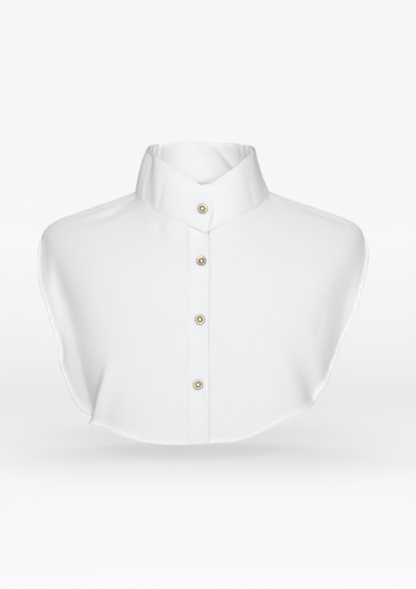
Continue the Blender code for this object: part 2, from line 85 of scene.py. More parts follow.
# Soft swellings of single cloth, and how it dips at its seams
BROAD_SWELL, BROAD_CELL = 0.55, 36.0
FINE_SWELL, FINE_CELL = 0.2, 13.0
SWELL_FADE = 14
PATTERN_X, PATTERN_Z = 300, 400
NECK_ROWS, NECK_TUCK = (0.0, 0.6, 1.4, 2.6), 0.1
SEAM_TUCK, SEAM_TUCK_REACH = 0.3, 1.4

# Stitched edges of doubled cloth
HEM_STITCH_ROW, HEM_WHITE_ROWS, HEM_PUCKER = 6, 9, 0.6
EDGE_SINK, EDGE_REACH = 0.65, 0.65
STITCH_SINK, STITCH_REACH = 0.8, 0.7
PUCKER_DEPTH, PUCKER_REACH, PUCKER_CELL, PUCKER_STRETCH = 0.17, 5.0, 5.5, 0.3
HEM_THREAD_LIFT, BAND_THREAD_LIFT = 0.03, 0.07

# Fineness
FOLD_STEPS, FINE_STEPS, COLUMN_STEPS = 40, 2401, 160
FOLD_MARGIN = 3
LATTICE = 97
NUDGE = 1e-3
TINY = 1e-12


def rows(kind: type, *values: tuple[float, ...]) -> tuple[Any, ...]:
    """The rows of a table, whose columns the kind names."""
    return tuple(kind(*row) for row in values)


def columns_of(table: tuple[Any, ...]) -> Any:
    """The columns of a table, each an array under its name."""
    return type(table[0])(*np.asarray(table, float).T)


class Section(NamedTuple):
    """One ring of the bib, from the neck seam outwards."""

    side_z: float
    half_width: float
    front: float
    front_drop: float
    back: float
    back_drop: float
    flat: float
    turn: float


SECTIONS = rows(
    Section,
    (0.0, 78.3, 66.0, 33.0, 58.0, -13.0, 2.0, 2.0),
    (-7.9, 101.0, 70.0, 48.0, 63.0, -11.0, 2.0, 1.9),
    (-15.3, 124.0, 73.3, 51.0, 67.5, -7.5, 2.0, 1.8),
    (-23.2, 147.0, 76.8, 54.0, 72.0, -3.0, 2.0, 1.75),
    (-31.5, 169.0, 80.3, 57.5, 76.0, 1.5, 2.1, 1.75),
    (-42.0, 184.0, 83.8, 61.0, 79.5, 6.0, 2.2, 1.8),
    (-62.0, 190.5, 87.4, 59.0, 82.5, 6.0, 2.3, 1.9),
    (-92.0, 194.0, 91.0, 51.0, 85.5, 1.0, 2.4, 2.0),
    (-130.0, 193.0, 95.5, 39.0, 88.0, -7.0, 2.5, 2.1),
    (-170.0, 186.0, 102.0, 28.0, 89.5, -12.0, 2.6, 2.2),
    (-212.0, 173.0, 108.5, 17.0, 90.0, -17.0, 2.7, 2.3),
    (-256.0, 157.0, 113.0, 6.0, 90.0, -21.0, 2.8, 2.4),
    (-295.0, 142.0, 115.5, 0.0, 90.0, -20.0, 2.8, 2.4),
)


class HemRow(NamedTuple):
    """A point of a lower edge, seen from the front."""

    x: float
    z: float


class SideRow(NamedTuple):
    """A point of a side edge, seen from the side: its height and its distance from the shoulder line."""

    z: float
    away: float


class Cut(NamedTuple):
    """The free edge of a panel, from the centre out and up to the tip of the shoulder."""

    hem: tuple[HemRow, ...]
    side: tuple[SideRow, ...]


FRONT_RIGHT_CUT = Cut(
    rows(
        HemRow,
        *((-17.8, -283.4), (-40.0, -283.2), (-60.0, -281.4), (-83.0, -276.6), (-104.5, -269.2)),
        *((-118.0, -265.0), (-129.0, -260.5)),
    ),
    rows(
        SideRow,
        *((-255.0, 66.0), (-246.0, 58.5), (-231.0, 54.0), (-214.3, 51.5), (-198.5, 48.5), (-181.5, 50.0)),
        *((-162.0, 48.0), (-144.0, 42.0), (-125.0, 34.0), (-103.0, 22.5), (-84.0, 14.5), (-66.0, 7.0)),
        (-53.5, 2.5),
    ),
)

FRONT_LEFT_CUT = Cut(
    rows(
        HemRow,
        *((-14.0, -283.0), (12.0, -281.4), (25.0, -280.8), (41.8, -278.5), (53.0, -275.4), (68.0, -268.4)),
        *((82.0, -261.6), (99.0, -253.4), (114.0, -247.6), (124.0, -243.8)),
    ),
    rows(
        SideRow,
        *((-239.5, 79.5), (-229.0, 76.5), (-218.7, 71.0), (-208.9, 66.5), (-198.8, 64.3), (-182.6, 58.5)),
        *((-166.3, 53.0), (-149.9, 46.5), (-131.4, 40.0), (-110.8, 31.5), (-90.1, 21.0), (-69.3, 9.0)),
        (-54.7, 3.0),
    ),
)

BACK_CUT = Cut(
    rows(HemRow, (0.0, -241.0), (35.0, -239.5), (66.0, -233.0), (92.0, -221.0)),
    rows(
        SideRow,
        *((-205.0, 69.0), (-184.0, 60.0), (-160.0, 52.0), (-135.0, 43.0), (-110.0, 33.0), (-86.0, 21.0)),
        *((-66.0, 10.0), (-53.5, 3.5)),
    ),
)


class Fold(NamedTuple):
    """A soft trough along a bent line in the front view; a negative depth makes it a ridge.

    Its flanks can differ: left and right, seen along the line, multiply their widths. A power below 2
    makes the bottom crisp.
    """

    start: tuple[float, float]
    bend: tuple[float, float]
    end: tuple[float, float]
    depths: tuple[float, float, float]
    widths: tuple[float, float, float]
    lean: float = 0.0
    left: float = 1.0
    right: float = 1.0
    power: float = 2.0


FRONT_FOLDS = (
    Fold((-174, -72), (-154, -165), (-135, -262), (1.0, 10.5, 13.5), (6, 9.5, 6), 0.0, 2.9, 2.3, 1.5),
    Fold((-176, -78), (-170.5, -118), (-156, -160), (0.4, 3.8, 0.6), (3.2, 4.2, 6), left=3.2),
    Fold((-105, -184), (-110.5, -218), (-124.5, -266), (0.0, -3.0, -5.2), (8, 7, 7), 6.0),
    Fold((-171, -158), (-168, -182), (-168, -204), (0.0, 2.4, 0.5), (3, 3.2, 3)),
    Fold((178, -84), (167, -138), (168, -204), (0.5, 8.5, 12.5), (6, 8, 12.5), 0.0, 1.8, 2.9, 1.8),
    Fold((104, -156), (121, -204), (136, -243), (0.0, 5.0, 9.0), (12, 12, 9), left=1.4, right=1.3),
    Fold((128, -165), (136, -196), (143, -224), (0.0, -1.2, -0.8), (9, 9, 7)),
    Fold((-53, -32), (-49, -44), (-46, -60), (0.6, 1.6, 0.0), (5, 6, 6)),
    Fold((-86, -17), (-116, -27), (-156, -38), (1.0, 2.6, 0.6), (4, 5.5, 5)),
    Fold((-84, -6), (-125, -19.5), (-165, -34), (0.8, 1.6, 1.4), (3, 3, 3.5)),
    Fold((100, -12), (135, -23), (166, -35), (0.8, 1.8, 1.6), (3, 3.2, 3.5)),
    Fold((16, -222), (22, -236), (31, -250), (0.0, 1.6, 0.6), (6, 7, 7)),
)
BACK_FOLDS = (
    Fold((-160, -80), (-132, -140), (-104, -222), (0.5, 4.0, 8.0), (12, 12, 11)),
    Fold((158, -90), (128, -145), (96, -224), (0.5, 3.5, 7.0), (12, 13, 11)),
    Fold((-22, -60), (-10, -150), (-6, -244), (0.0, 2.0, 4.0), (16, 18, 17)),
)

# Small creases that the solids leave out
FRONT_CREASES = (
    Fold((-24, -40), (-20, -50), (-17.5, -63), (0.3, 0.8, 0.0), (2.5, 3.5, 3.5)),
    Fold((-76, -4), (-92, -12), (-114, -28), (1.2, 1.5, 0.5), (3, 4, 5)),
    Fold((-179, -35), (-174, -38), (-166, -45), (0.7, 0.5, 0.0), (2, 2.5, 2.5)),
    Fold((-182, -42), (-176, -47), (-170, -56), (0.5, 0.5, 0.0), (2, 2.5, 3)),
    Fold((76, -4), (82, -8), (90, -13), (0.8, 0.9, 0.0), (2.5, 3, 3)),
    Fold((117, -14), (126, -19), (136, -26), (0.0, 0.7, 0.0), (3, 4, 4)),
    Fold((26, -58), (34, -70), (44, -86), (0.4, 0.6, 0.0), (4, 5, 6)),
    Fold((62, -40), (82, -56), (108, -76), (0.0, 0.8, 0.0), (6, 8, 9)),
    Fold((-60, -190), (-72, -214), (-80, -240), (0.0, 0.7, 0.0), (7, 8, 8)),
    Fold((56, -170), (62, -205), (60, -240), (0.0, 0.9, 0.3), (9, 10, 9)),
    Fold((138, -120), (134, -150), (132, -180), (0.0, 0.9, 0.0), (6, 7, 7)),
    Fold((-120, -95), (-114, -130), (-116, -170), (0.0, 0.9, 0.0), (8, 10, 9)),
)
BACK_CREASES = (
    Fold((-60, 4), (-66, -12), (-80, -34), (0.9, 0.9, 0.0), (3, 4, 5)),
    Fold((58, 4), (67, -14), (84, -38), (0.8, 0.9, 0.0), (3, 4, 5)),
    Fold((20, 0), (30, -30), (28, -70), (0.4, 1.1, 0.0), (5, 7, 8)),
    Fold((-128, -60), (-112, -96), (-92, -120), (0.0, 1.1, 0.0), (6, 8, 8)),
    Fold((120, -64), (104, -92), (80, -112), (0.0, 1.0, 0.0), (6, 8, 8)),
    Fold((48, -150), (54, -190), (50, -232), (0.0, 1.2, 0.8), (8, 9, 8)),
    Fold((-62, -160), (-56, -200), (-58, -236), (0.0, 1.0, 0.8), (8, 9, 8)),
)
PLACKET_CREASES = (
    Fold((-12, -115), (-5, -108), (5, -104), (0.4, 1.5, 0.6), (2.2, 2.8, 2.6)),
    Fold((-14, -104), (-8, -99), (0, -96), (0.0, 1.1, 0.3), (2.2, 2.6, 2.6)),
    Fold((-15, -250), (-8, -244), (2, -241), (0.0, 0.5, 0.0), (3, 3, 3)),
    Fold((-14, -172), (-6, -168), (4, -166), (0.0, 0.4, 0.0), (3, 4, 3)),
)


class TopEdge(NamedTuple):
    """Height of the collar's top edge at an angle round the neck, from the under end round the back."""

    degrees: float
    z: float


COLLAR_TOP = rows(
    TopEdge,
    *((-20, 6.5), (0, 9.4), (12, 12.3), (20, 17.7), (33, 26.4), (53, 39.2), (90, 51.0), (135, 57.5)),
    *((180, 60.3), (225, 58.0), (270, 52.5), (310, 40.2), (323, 32.3), (342, 20.8), (355, 12.2)),
    *((362, 8.8), (380, 2.0)),
)


class CollarEnd(NamedTuple):
    """Where the two ends of the band reach, at a share of the height down from the top edge."""

    drop: float
    top_x: float
    under_x: float


COLLAR_ENDS = rows(
    CollarEnd,
    *((0.0, -5.0, -6.0), (0.05, 1.5, -9.0), (0.12, 7.6, -11.5), (0.22, 11.8, -12.5)),
    *((0.38, 13.2, -13.0), (0.52, 12.7, -13.0), (0.75, 10.4, -13.0), (1.0, 6.6, -13.0)),
)


class Swell(NamedTuple):
    """How far the band bows out halfway up, at an angle round the neck."""

    degrees: float
    out: float


COLLAR_SWELLS = rows(
    Swell,
    *((-20, 0.5), (30, 0.5), (90, -2.0), (140, 0.0), (180, 1.0), (225, 1.0), (270, 1.8), (320, 1.0)),
    (380, 0.5),
)


class BandFold(NamedTuple):
    """A soft upright trough in the collar band, from one angle at the top edge to another at the seam.

    Rising and falling multiply its width towards greater and lesser angles.
    """

    top_degrees: float
    foot_degrees: float
    top_depth: float
    foot_depth: float
    width_degrees: float
    rising: float = 1.0
    falling: float = 1.0


BAND_FOLDS = rows(
    BandFold,
    *((290, 308, 4.4, 2.6, 4.6, 1.9, 2.5), (318, 323, 0.0, 0.7, 4.5), (86, 80, 0.9, 1.3, 7.0, 1.0, 2.2)),
    *((57, 52, 0.6, 0.7, 6.0), (118, 124, 1.6, 0.5, 8.0), (148, 160, 1.4, 0.0, 7.0)),
    (222, 214, 1.4, 0.2, 7.0),
)
BAND_CREASES = rows(
    BandFold,
    *((284, 290, 0.0, 0.8, 2.4), (294, 299, 0.1, 0.9, 2.2), (322, 318, 0.0, 1.1, 2.4)),
    *((50, 52, 0.5, 0.3, 3.0), (79, 76, 0.2, 0.7, 2.6), (168, 136, 0.8, 2.6, 4.2, 1.0, 1.6)),
    *((133, 139, 1.6, 0.2, 2.4), (122, 129, 1.8, 0.5, 2.6), (112, 117, 1.6, 0.4, 2.2)),
    *((229, 223, 1.7, 0.1, 2.2), (238, 231, 1.5, 0.1, 2.4), (248, 240, 2.0, 0.2, 2.2)),
    (196, 192, 0.2, 0.6, 4.0),
)


class HemShape(NamedTuple):
    """How far a turned hem's two faces stand from the cloth's middle, at a distance in from its edge."""

    away: float
    outer: float
    inner: float


HEM_SHAPE = rows(
    HemShape,
    *((0.0, 0.54, 0.05), (0.3, 0.64, -0.40), (0.8, 0.70, -0.80), (1.6, 0.70, -0.98), (2.3, 0.55, -0.95)),
    *((2.9, -0.05, -0.80), (3.3, -0.40, -0.78), (3.7, -0.10, -0.85), (4.3, 0.10, -0.80)),
    *((5.0, 0.0, -0.38), (6.0, 0.0, -0.35), (8.0, 0.0, -0.35)),
)
HEM, TOP, ENDS, SWELLS = map(columns_of, (HEM_SHAPE, COLLAR_TOP, COLLAR_ENDS, COLLAR_SWELLS))


class Crowd(NamedTuple):
    """Where along an edge the columns lie closer together, as shares of the edge."""

    place: float
    reach: float
    strength: float


class ButtonPlace(NamedTuple):
    """A button's centre, seen from the front, and how far its face leans to the side and up."""

    x: float
    z: float
    aside: float
    up: float


COLLAR_BUTTON = ButtonPlace(-0.7, -18.3, 0.02, 0.05)
FRONT_BUTTONS = rows(
    ButtonPlace,
    *((-1.8, -77.4, -0.08, 0.06), (-3.4, -143.6, 0.05, -0.06), (-5.6, -216.3, -0.04, 0.03)),
)


class Turning(NamedTuple):
    """A point of the button's turned profile: its radius, its height, and how dark it is there, from
    tarnish in its groove and painted shade on its rim's outer slope.
    """

    radius: float
    height: float
    patina_and_shade: float


# Darkness column: tarnish in the groove near radius 2.7, painted shade on the rim's sloping outer edge, and
# the boss a little darker
BUTTON_TURNINGS = rows(
    Turning,
    *((0.0, 0.0, 0.6), (4.9, 0.0, 0.6), (5.35, 0.25, 0.7), (5.62, 0.6, 0.75), (5.7, 1.0, 0.8)),
    *((5.6, 1.45, 0.85), (5.35, 1.8, 0.85), (5.05, 2.0, 0.75), (4.75, 2.08, 0.45), (4.4, 2.04, 0.1)),
    *((3.95, 1.86, 0.05), (3.5, 1.7, 0.1), (3.2, 1.55, 0.4), (2.95, 1.3, 0.9), (2.7, 1.15, 1.0)),
    *((2.4, 1.12, 1.0), (2.15, 1.25, 0.8), (1.9, 1.45, 0.5), (1.6, 1.62, 0.35), (1.2, 1.74, 0.35)),
    *((0.6, 1.82, 0.45), (0.0, 1.85, 0.5)),
)


def curve(knots: Any, values: Any, at: Any) -> Array:
    """Reads a smooth curve through rows of values.

    Args:
        knots: Where each row stands, rising.
        values: The values at the knots.
        at: The places asked for.

    Returns:
        The values at those places.
    """
    knots, values, at = (np.asarray(given, float) for given in (knots, values, at))
    slopes = np.gradient(values, knots, axis=0)
    left = np.clip(np.searchsorted(knots, at) - 1, 0, len(knots) - 2)
    span = knots[left + 1] - knots[left]
    part = (at - knots[left]) / span
    if values.ndim > 1:
        span, part = span[..., None], part[..., None]
    far = part * part * (3 - 2 * part)
    out = part * (1 - part) ** 2 * span
    back = part**2 * (part - 1) * span
    return values[left] * (1 - far) + values[left + 1] * far + slopes[left] * out + slopes[left + 1] * back


def ease(low: float, high: float, value: Any) -> Array:
    """0 below low, 1 above high, and smooth between."""
    part = np.clip((np.asarray(value, float) - low) / (high - low), 0, 1)
    return part * part * (3 - 2 * part)


def bump_at(at: Array, middle: Any, reach: Any) -> Array:
    """A smooth bump, 1 at its middle."""
    return np.exp(-(((at - middle) / reach) ** 2))


def drift(seed: int, across: Any, down: Any, cell: float) -> Array:
    """Soft random unevenness of the cloth.

    Args:
        seed: Picks one of the fixed patterns.
        across: Place along one direction of the cloth, in millimetres.
        down: Place along the other.
        cell: Size of one swelling or hollow, in millimetres.

    Returns:
        A value from -1 to 1 at each place.
    """
    lattice = np.random.default_rng(seed).uniform(-1, 1, (LATTICE, LATTICE))
    u, v = np.broadcast_arrays(across / cell, down / cell)
    i, j = np.floor(u).astype(int), np.floor(v).astype(int)
    a, b = ease(0, 1, u - i), ease(0, 1, v - j)
    i, j, k, m = i % LATTICE, j % LATTICE, (i + 1) % LATTICE, (j + 1) % LATTICE
    near = lattice[i, j] * (1 - a) + lattice[k, j] * a
    far = lattice[i, m] * (1 - a) + lattice[k, m] * a
    return near * (1 - b) + far * b


def unit(vectors: Array) -> Array:
    """The vectors, made one long."""
    return vectors / np.maximum(np.linalg.norm(vectors, axis=-1, keepdims=True), TINY)


def moved(points: Array, ways: Array, distances: Array) -> Array:
    """The points, each moved along its way by its distance."""
    return points + ways * distances[..., None]


def section_at(level: Any) -> Section:
    """The section's values at a level, which counts the rings outwards from the neck seam."""
    return Section(*np.moveaxis(curve(range(len(SECTIONS)), SECTIONS, level), -1, 0))


def plain_bib(angle: Any, level: Any) -> Array:
    """Points of the bib without folds.

    Args:
        angle: 0 at the centre front and a quarter turn at the wearer's left shoulder.
        level: 0 at the neck seam, rising by 1 at each ring.

    Returns:
        The points, in millimetres.
    """
    ring = section_at(level)
    sine = np.abs(np.sin(angle))
    reach = np.clip(1 - sine**ring.flat, 0, 1) ** (1 / ring.turn)
    in_front = np.cos(angle) > 0
    x = NECK_X * np.clip(1 - level, 0, 1) + ring.half_width * np.sin(angle)
    y = np.where(in_front, -ring.front, ring.back) * reach
    drop = np.where(in_front, ring.front_drop, ring.back_drop) * reach**SHOULDER_ROUND
    fade = np.maximum(1 - level / NECK_DIP_FADES_AT, 0) ** 2
    dip = NECK_DIP * np.exp(-np.hypot(x - NECK_DIP_X, NECK_DIP_BLUNT) / NECK_DIP_REACH) * fade * in_front
    return np.stack((x, y, ring.side_z - drop - dip), axis=-1)


def plain_normals(angle: Array, level: Array) -> Array:
    """Works out which way the bib faces without its folds.

    Args:
        angle: Angles, as plain_bib takes them.
        level: Levels, likewise.

    Returns:
        Unit normals, pointing outwards.
    """
    side = plain_bib(angle + NUDGE, level) - plain_bib(angle - NUDGE, level)
    fall = plain_bib(angle, level + NUDGE) - plain_bib(angle, level - NUDGE)
    return unit(np.cross(fall, side))


def outward_normals(points: Array, facing: Array) -> Array:
    """Unit normals of a grid of points, on the side that the cloth faces."""
    normals = unit(np.cross(np.gradient(points, axis=0), np.gradient(points, axis=1)))
    return normals * np.sign((normals * facing).sum())


def press_of(fold: Fold, points: Array) -> Array:
    """How far a fold presses each point in.

    Args:
        fold: The fold.
        points: Points of the cloth, in millimetres.

    Returns:
        The depth at each point, negative on a ridge.
    """
    share = np.linspace(0, 1, FOLD_STEPS)
    shape = ((fold.start, fold.bend, fold.end), fold.depths, fold.widths)
    path, depths, widths = (curve((0, 0.5, 1), part, share) for part in shape)
    seen = points[..., (0, 2)]
    along = np.gradient(path, axis=0)
    margin = FOLD_MARGIN * max(fold.widths) * max(fold.left, fold.right)
    near = ((seen > path.min(axis=0) - margin) & (seen < path.max(axis=0) + margin)).all(axis=-1)
    reach = seen[near][:, None] - path
    turn = along[:, 0] * reach[..., 1] - along[:, 1] * reach[..., 0]
    away = np.linalg.norm(reach, axis=-1)
    leftwards = 0.5 + 0.5 * turn / np.maximum(away * np.linalg.norm(along, axis=-1), TINY)
    away = away / (fold.right + (fold.left - fold.right) * leftwards)
    presses = depths * np.exp(-((away / widths) ** fold.power))
    strongest = np.abs(presses).argmax(axis=-1)
    result = np.zeros(points.shape[:-1])
    result[near] = np.take_along_axis(presses, strongest[:, None], axis=-1)[:, 0]
    return result


def fold_cloth(plain: Array, normals: Array, folds: tuple[Fold, ...]) -> Array:
    """Presses folds into points of plain cloth.

    Args:
        plain: The points without folds.
        normals: The cloth's outward normals there.
        folds: The folds, which are all read on the plain points.

    Returns:
        The folded points.
    """
    points = plain.copy()
    for fold in folds:
        press = press_of(fold, plain)
        points -= normals * press[..., None]
        points[..., 0] += fold.lean * press / max(map(abs, fold.depths))
    return points


def underlap(x: Array) -> Array:
    """How far the lower layer lies below the upper one beside the front opening."""
    return UNDERLAP_DEPTH * (1 - ease(UNDERLAP_STARTS_X, UNDERLAP_ENDS_X, x))


def gathered_shares(count: int, crowds: tuple[Crowd, ...]) -> Array:
    """Spreads columns along an edge, closer together where they crowd.

    Args:
        count: How many columns there are.
        crowds: Where they crowd.

    Returns:
        Their shares of the edge, from 0 to 1.
    """
    fine = np.linspace(0, 1, FINE_STEPS * 4)
    density = 1 + sum(crowd.strength * bump_at(fine, crowd.place, crowd.reach) for crowd in crowds)
    total = np.concatenate(([0], np.cumsum((density[1:] + density[:-1]) / 2)))
    return np.interp(np.linspace(0, 1, count), total / total[-1], fine)


def lengths_along(points: Array, axis: int) -> Array:
    """How far each point of a grid lies from the start of its row or column, in millimetres."""
    total = np.cumsum(np.linalg.norm(np.diff(points, axis=axis), axis=-1), axis=axis)
    return np.concatenate((np.zeros_like(np.take(total, [0], axis=axis)), total), axis=axis)


def level_on_front(x: float, z: float) -> float:
    """Finds a point of the plain front.

    Args:
        x: Its place across.
        z: Its height.

    Returns:
        Its level.
    """
    levels = np.linspace(0, len(SECTIONS) - 1, FINE_STEPS)
    angle = np.arcsin(x / section_at(levels).half_width)
    return float(np.interp(-z, -plain_bib(angle, levels)[:, 2], levels))


def edge_rise(away: Array, stitch_at: float) -> Array:
    """How far a face of doubled cloth sinks at its rounded edge and along the stitches beside it."""
    return -EDGE_SINK * bump_at(away, 0, EDGE_REACH) - STITCH_SINK * bump_at(away, stitch_at, STITCH_REACH)


def pucker(seed: int, along: Array, away: Array) -> Array:
    """Small ripples that stitching draws up, by how far along a seam and away from it a point is."""
    ripples = drift(seed, along, away * PUCKER_STRETCH, PUCKER_CELL)
    return PUCKER_DEPTH * ripples * bump_at(away, 0, PUCKER_REACH)


def placed(name: str, data: bpy.types.ID) -> Object:
    """Puts a new object into the scene.

    Args:
        name: Its name.
        data: Its mesh, light or camera.

    Returns:
        The object.
    """
    thing = bpy.data.objects.new(name, data)
    bpy.context.scene.collection.objects.link(thing)
    return thing


def declare(piece: Object, solid: str = "") -> None:
    """Attaches a piece to what carries it, and hides the solid that it stands for.

    Args:
        piece: The piece.
        solid: The solid, if it stands for one.
    """
    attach(piece, BODY)
    if solid:
        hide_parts(solid)


class Graph:
    """A node tree under construction."""

    def __init__(self, tree: Tree) -> None:
        """Keeps the tree that nodes are added to."""
        self.tree = tree

    def add(self, kind: str, **settings: Any) -> Node:
        """Adds a node and sets its properties.

        Args:
            kind: The node's type name.
            settings: Properties of the node.

        Returns:
            The new node.
        """
        node = self.tree.nodes.new(kind)
        for name, value in settings.items():
            setattr(node, name, value)
        return node

    def feed(self, node: Node, **values: Any) -> Node:
        """Sets a node's inputs, each from a value or a socket.

        Args:
            node: The node.
            values: Inputs by name, with underscores for spaces, or by i and a number.

        Returns:
            The same node.
        """
        for name, value in values.items():
            number = name[1:]
            key: Any = int(number) if name[0] == "i" and number.isdigit() else name.replace("_", " ")
            if isinstance(value, Socket):
                self.tree.links.new(value, node.inputs[key])
            else:
                node.inputs[key].default_value = value
        return node

    def put(self, kind: str, **values: Any) -> Node:
        """Adds a node and sets its inputs."""
        return self.feed(self.add(kind), **values)

    def math(self, operation: str, *values: Any) -> Socket:
        """A Math node on one or more values or sockets, and its output."""
        node = self.add("ShaderNodeMath", operation=operation)
        return self.feed(node, **{f"i{n}": value for n, value in enumerate(values)}).outputs[0]

    def mix(self, factor: Any, first: Any, second: Any) -> Socket:
        """A colour mix and its output."""
        node = self.add("ShaderNodeMix", data_type="RGBA")
        return self.feed(node, i0=factor, i6=first, i7=second).outputs[2]

    def noise(self, place: Socket, scale: float, detail: float) -> Socket:
        """A noise texture's value."""
        return self.put("ShaderNodeTexNoise", Vector=place, Scale=scale, Detail=detail).outputs["Fac"]

    def bumps(self, strength: float, depth: float, height: Socket) -> Socket:
        """A bump node's normal."""
        return self.put("ShaderNodeBump", Strength=strength, Distance=depth, Height=height).outputs[0]

    def stretched(self, place: Socket, x: float, y: float, z: float) -> Socket:
        """A place, scaled differently along each axis."""
        node = self.add("ShaderNodeVectorMath", operation="MULTIPLY")
        return self.feed(node, i0=place, i1=(x, y, z)).outputs[0]


def new_tree(name: str, kind: str, takes: dict[str, str], gives: dict[str, str]) -> Tree:
    """Makes a node tree with named sockets.

    Args:
        name: The tree's name.
        kind: Its type name.
        takes: Its inputs and what each is.
        gives: Its outputs, likewise.

    Returns:
        The tree.
    """
    tree = bpy.data.node_groups.new(name, kind)
    for way, sockets in (("INPUT", takes), ("OUTPUT", gives)):
        for label, what in sockets.items():
            tree.interface.new_socket(label, in_out=way, socket_type="NodeSocket" + what)
    return tree


def new_material(name: str) -> tuple[Material, Graph, Node]:
    """Makes a material with nodes.

    Args:
        name: Its name.

    Returns:
        The material, its node tree and its shader.
    """
    material = bpy.data.materials.new(name)
    material.use_nodes = True
    return material, Graph(material.node_tree), material.node_tree.nodes["Principled BSDF"]


@dataclass(frozen=True)
class WeaveGroup:
    """The shared effect of a plain weave: threads over and under, with uneven yarn."""

    name: str = "plain weave"
    along_yarn: float = 60.0
    across_yarn: float = 2600.0
    relief: float = 0.25

    def build(self) -> Tree:
        """Makes the group.

        Returns:
            A shader node group that gives a height and a mask of thicker yarn.
        """
        takes = {"Place": "Vector", "Pitch": "Float", "Uneven": "Float"}
        tree = new_tree(self.name, "ShaderNodeTree", takes, {"Height": "Float", "Yarn": "Float"})
        graph = Graph(tree)
        given = graph.add("NodeGroupInput").outputs
        place = given["Place"]
        turns = graph.math("DIVIDE", math.tau, given["Pitch"])
        axes = graph.put("ShaderNodeSeparateXYZ", Vector=place).outputs
        warp, weft = (graph.math("SINE", graph.math("MULTIPLY", axes[axis], turns)) for axis in "XY")
        crossing = graph.math("MULTIPLY", warp, weft)
        long_yarn = graph.noise(graph.stretched(place, self.across_yarn, self.along_yarn, 1.0), 1.0, 2.0)
        cross_yarn = graph.noise(graph.stretched(place, self.along_yarn, self.across_yarn, 1.0), 1.0, 2.0)
        yarn = graph.math("ADD", long_yarn, cross_yarn)
        uneven = graph.math("MULTIPLY", graph.math("SUBTRACT", yarn, 1.0), given["Uneven"])
        height = graph.math("MULTIPLY_ADD", crossing, self.relief, graph.math("ADD", uneven, 0.5))
        graph.put("NodeGroupOutput", Height=height, Yarn=graph.math("MULTIPLY", yarn, 0.5))
        return tree


@dataclass(frozen=True)
class ClothFinish:
    """White woven shirt cloth."""

    name: str
    color: Color
    shade: Color
    pitch: float = 0.00042
    by_uv: bool = True
    uneven: float = 0.5
    bump: float = 0.35
    depth: float = 0.00012
    cloud_scale: float = 70.0
    roughness: float = 0.86
    sheen: float = 0.12
    sheen_roughness: float = 0.5
    specular: float = 0.25

    def build(self, weave: Tree) -> Material:
        """Makes the material.

        Args:
            weave: The shared weave group.

        Returns:
            The material, on the piece's own UV map or on Object coordinates.
        """
        material, graph, shader = new_material(self.name)
        place = graph.add("ShaderNodeTexCoord").outputs["UV" if self.by_uv else "Object"]
        woven = graph.add("ShaderNodeGroup", node_tree=weave)
        graph.feed(woven, Place=place, Pitch=self.pitch, Uneven=self.uneven)
        cloudy = graph.noise(graph.stretched(place, *[self.cloud_scale] * 3), 1.0, 3.0)
        mask = graph.math("MULTIPLY", graph.math("ADD", woven.outputs["Yarn"], cloudy), 0.5)
        graph.feed(
            shader,
            Base_Color=graph.mix(mask, self.color, self.shade),
            Roughness=self.roughness,
            Normal=graph.bumps(self.bump, self.depth, woven.outputs["Height"]),
            Sheen_Weight=self.sheen,
            Sheen_Roughness=self.sheen_roughness,
            Specular_IOR_Level=self.specular,
        )
        return material


@dataclass(frozen=True)
class MetalFinish:
    """Soft gold metal, darkened by tarnish in its groove and by painted shade on its rim's outer slope."""

    name: str = "old_gold"
    bright: Color = (0.93, 0.83, 0.68, 1.0)
    patina_and_shade: Color = (0.24, 0.18, 0.125, 1.0)
    worn: Color = (0.76, 0.65, 0.49, 1.0)
    cloud_scale: float = 900.0
    spot_scale: float = 3500.0
    spot_bump: float = 0.3
    spot_depth: float = 0.00006
    patina_and_shade_share: float = 0.65
    patina_and_shade_spread: float = 0.5
    roughness: float = 0.36
    roughness_range: float = 0.2

    def build(self) -> Material:
        """Makes the material, which reads the piece's attribute of tarnish and painted shade.

        Returns:
            The material.
        """
        material, graph, shader = new_material(self.name)
        place = graph.add("ShaderNodeTexCoord").outputs["Object"]
        groove = graph.add("ShaderNodeAttribute", attribute_name="patina_and_shade").outputs["Fac"]
        cloudy = graph.noise(place, self.cloud_scale, 4.0)
        spots = graph.noise(place, self.spot_scale, 2.0)
        body = graph.mix(cloudy, self.bright, self.worn)
        # Share of the dark colour: tarnish in the groove, painted shade on the rim's outer slope
        share = graph.math("MULTIPLY_ADD", cloudy, self.patina_and_shade_spread, self.patina_and_shade_share)
        patina_and_shade_share = graph.math("MULTIPLY", groove, share)
        graph.feed(
            shader,
            Base_Color=graph.mix(patina_and_shade_share, body, self.patina_and_shade),
            Metallic=1.0,
            Roughness=graph.math("MULTIPLY_ADD", cloudy, self.roughness_range, self.roughness),
            Normal=graph.bumps(self.spot_bump, self.spot_depth, spots),
        )
        return material


@dataclass(frozen=True)
class Palette:
    """The finishes that the pieces share."""

    cloth: Material
    band: Material
    hem: Material
    thread: Material
    metal: Material

    @staticmethod
    def build() -> Palette:
        """Makes every finish once.

        Returns:
            The finishes.
        """
        weave = WeaveGroup().build()
        woven = (
            ClothFinish("shirt_cloth", (0.86, 0.867, 0.879, 1.0), (0.835, 0.844, 0.859, 1.0)),
            ClothFinish("doubled_cloth", (0.875, 0.881, 0.89, 1.0), (0.85, 0.857, 0.869, 1.0)),
            ClothFinish("turned_hem", (0.915, 0.919, 0.924, 1.0), (0.89, 0.895, 0.902, 1.0)),
            ClothFinish(
                "sewing_thread",
                (0.88, 0.885, 0.895, 1.0),
                (0.84, 0.848, 0.862, 1.0),
                pitch=0.00035,
                by_uv=False,
            ),
        )
        return Palette(*(finish.build(weave) for finish in woven), MetalFinish().build())


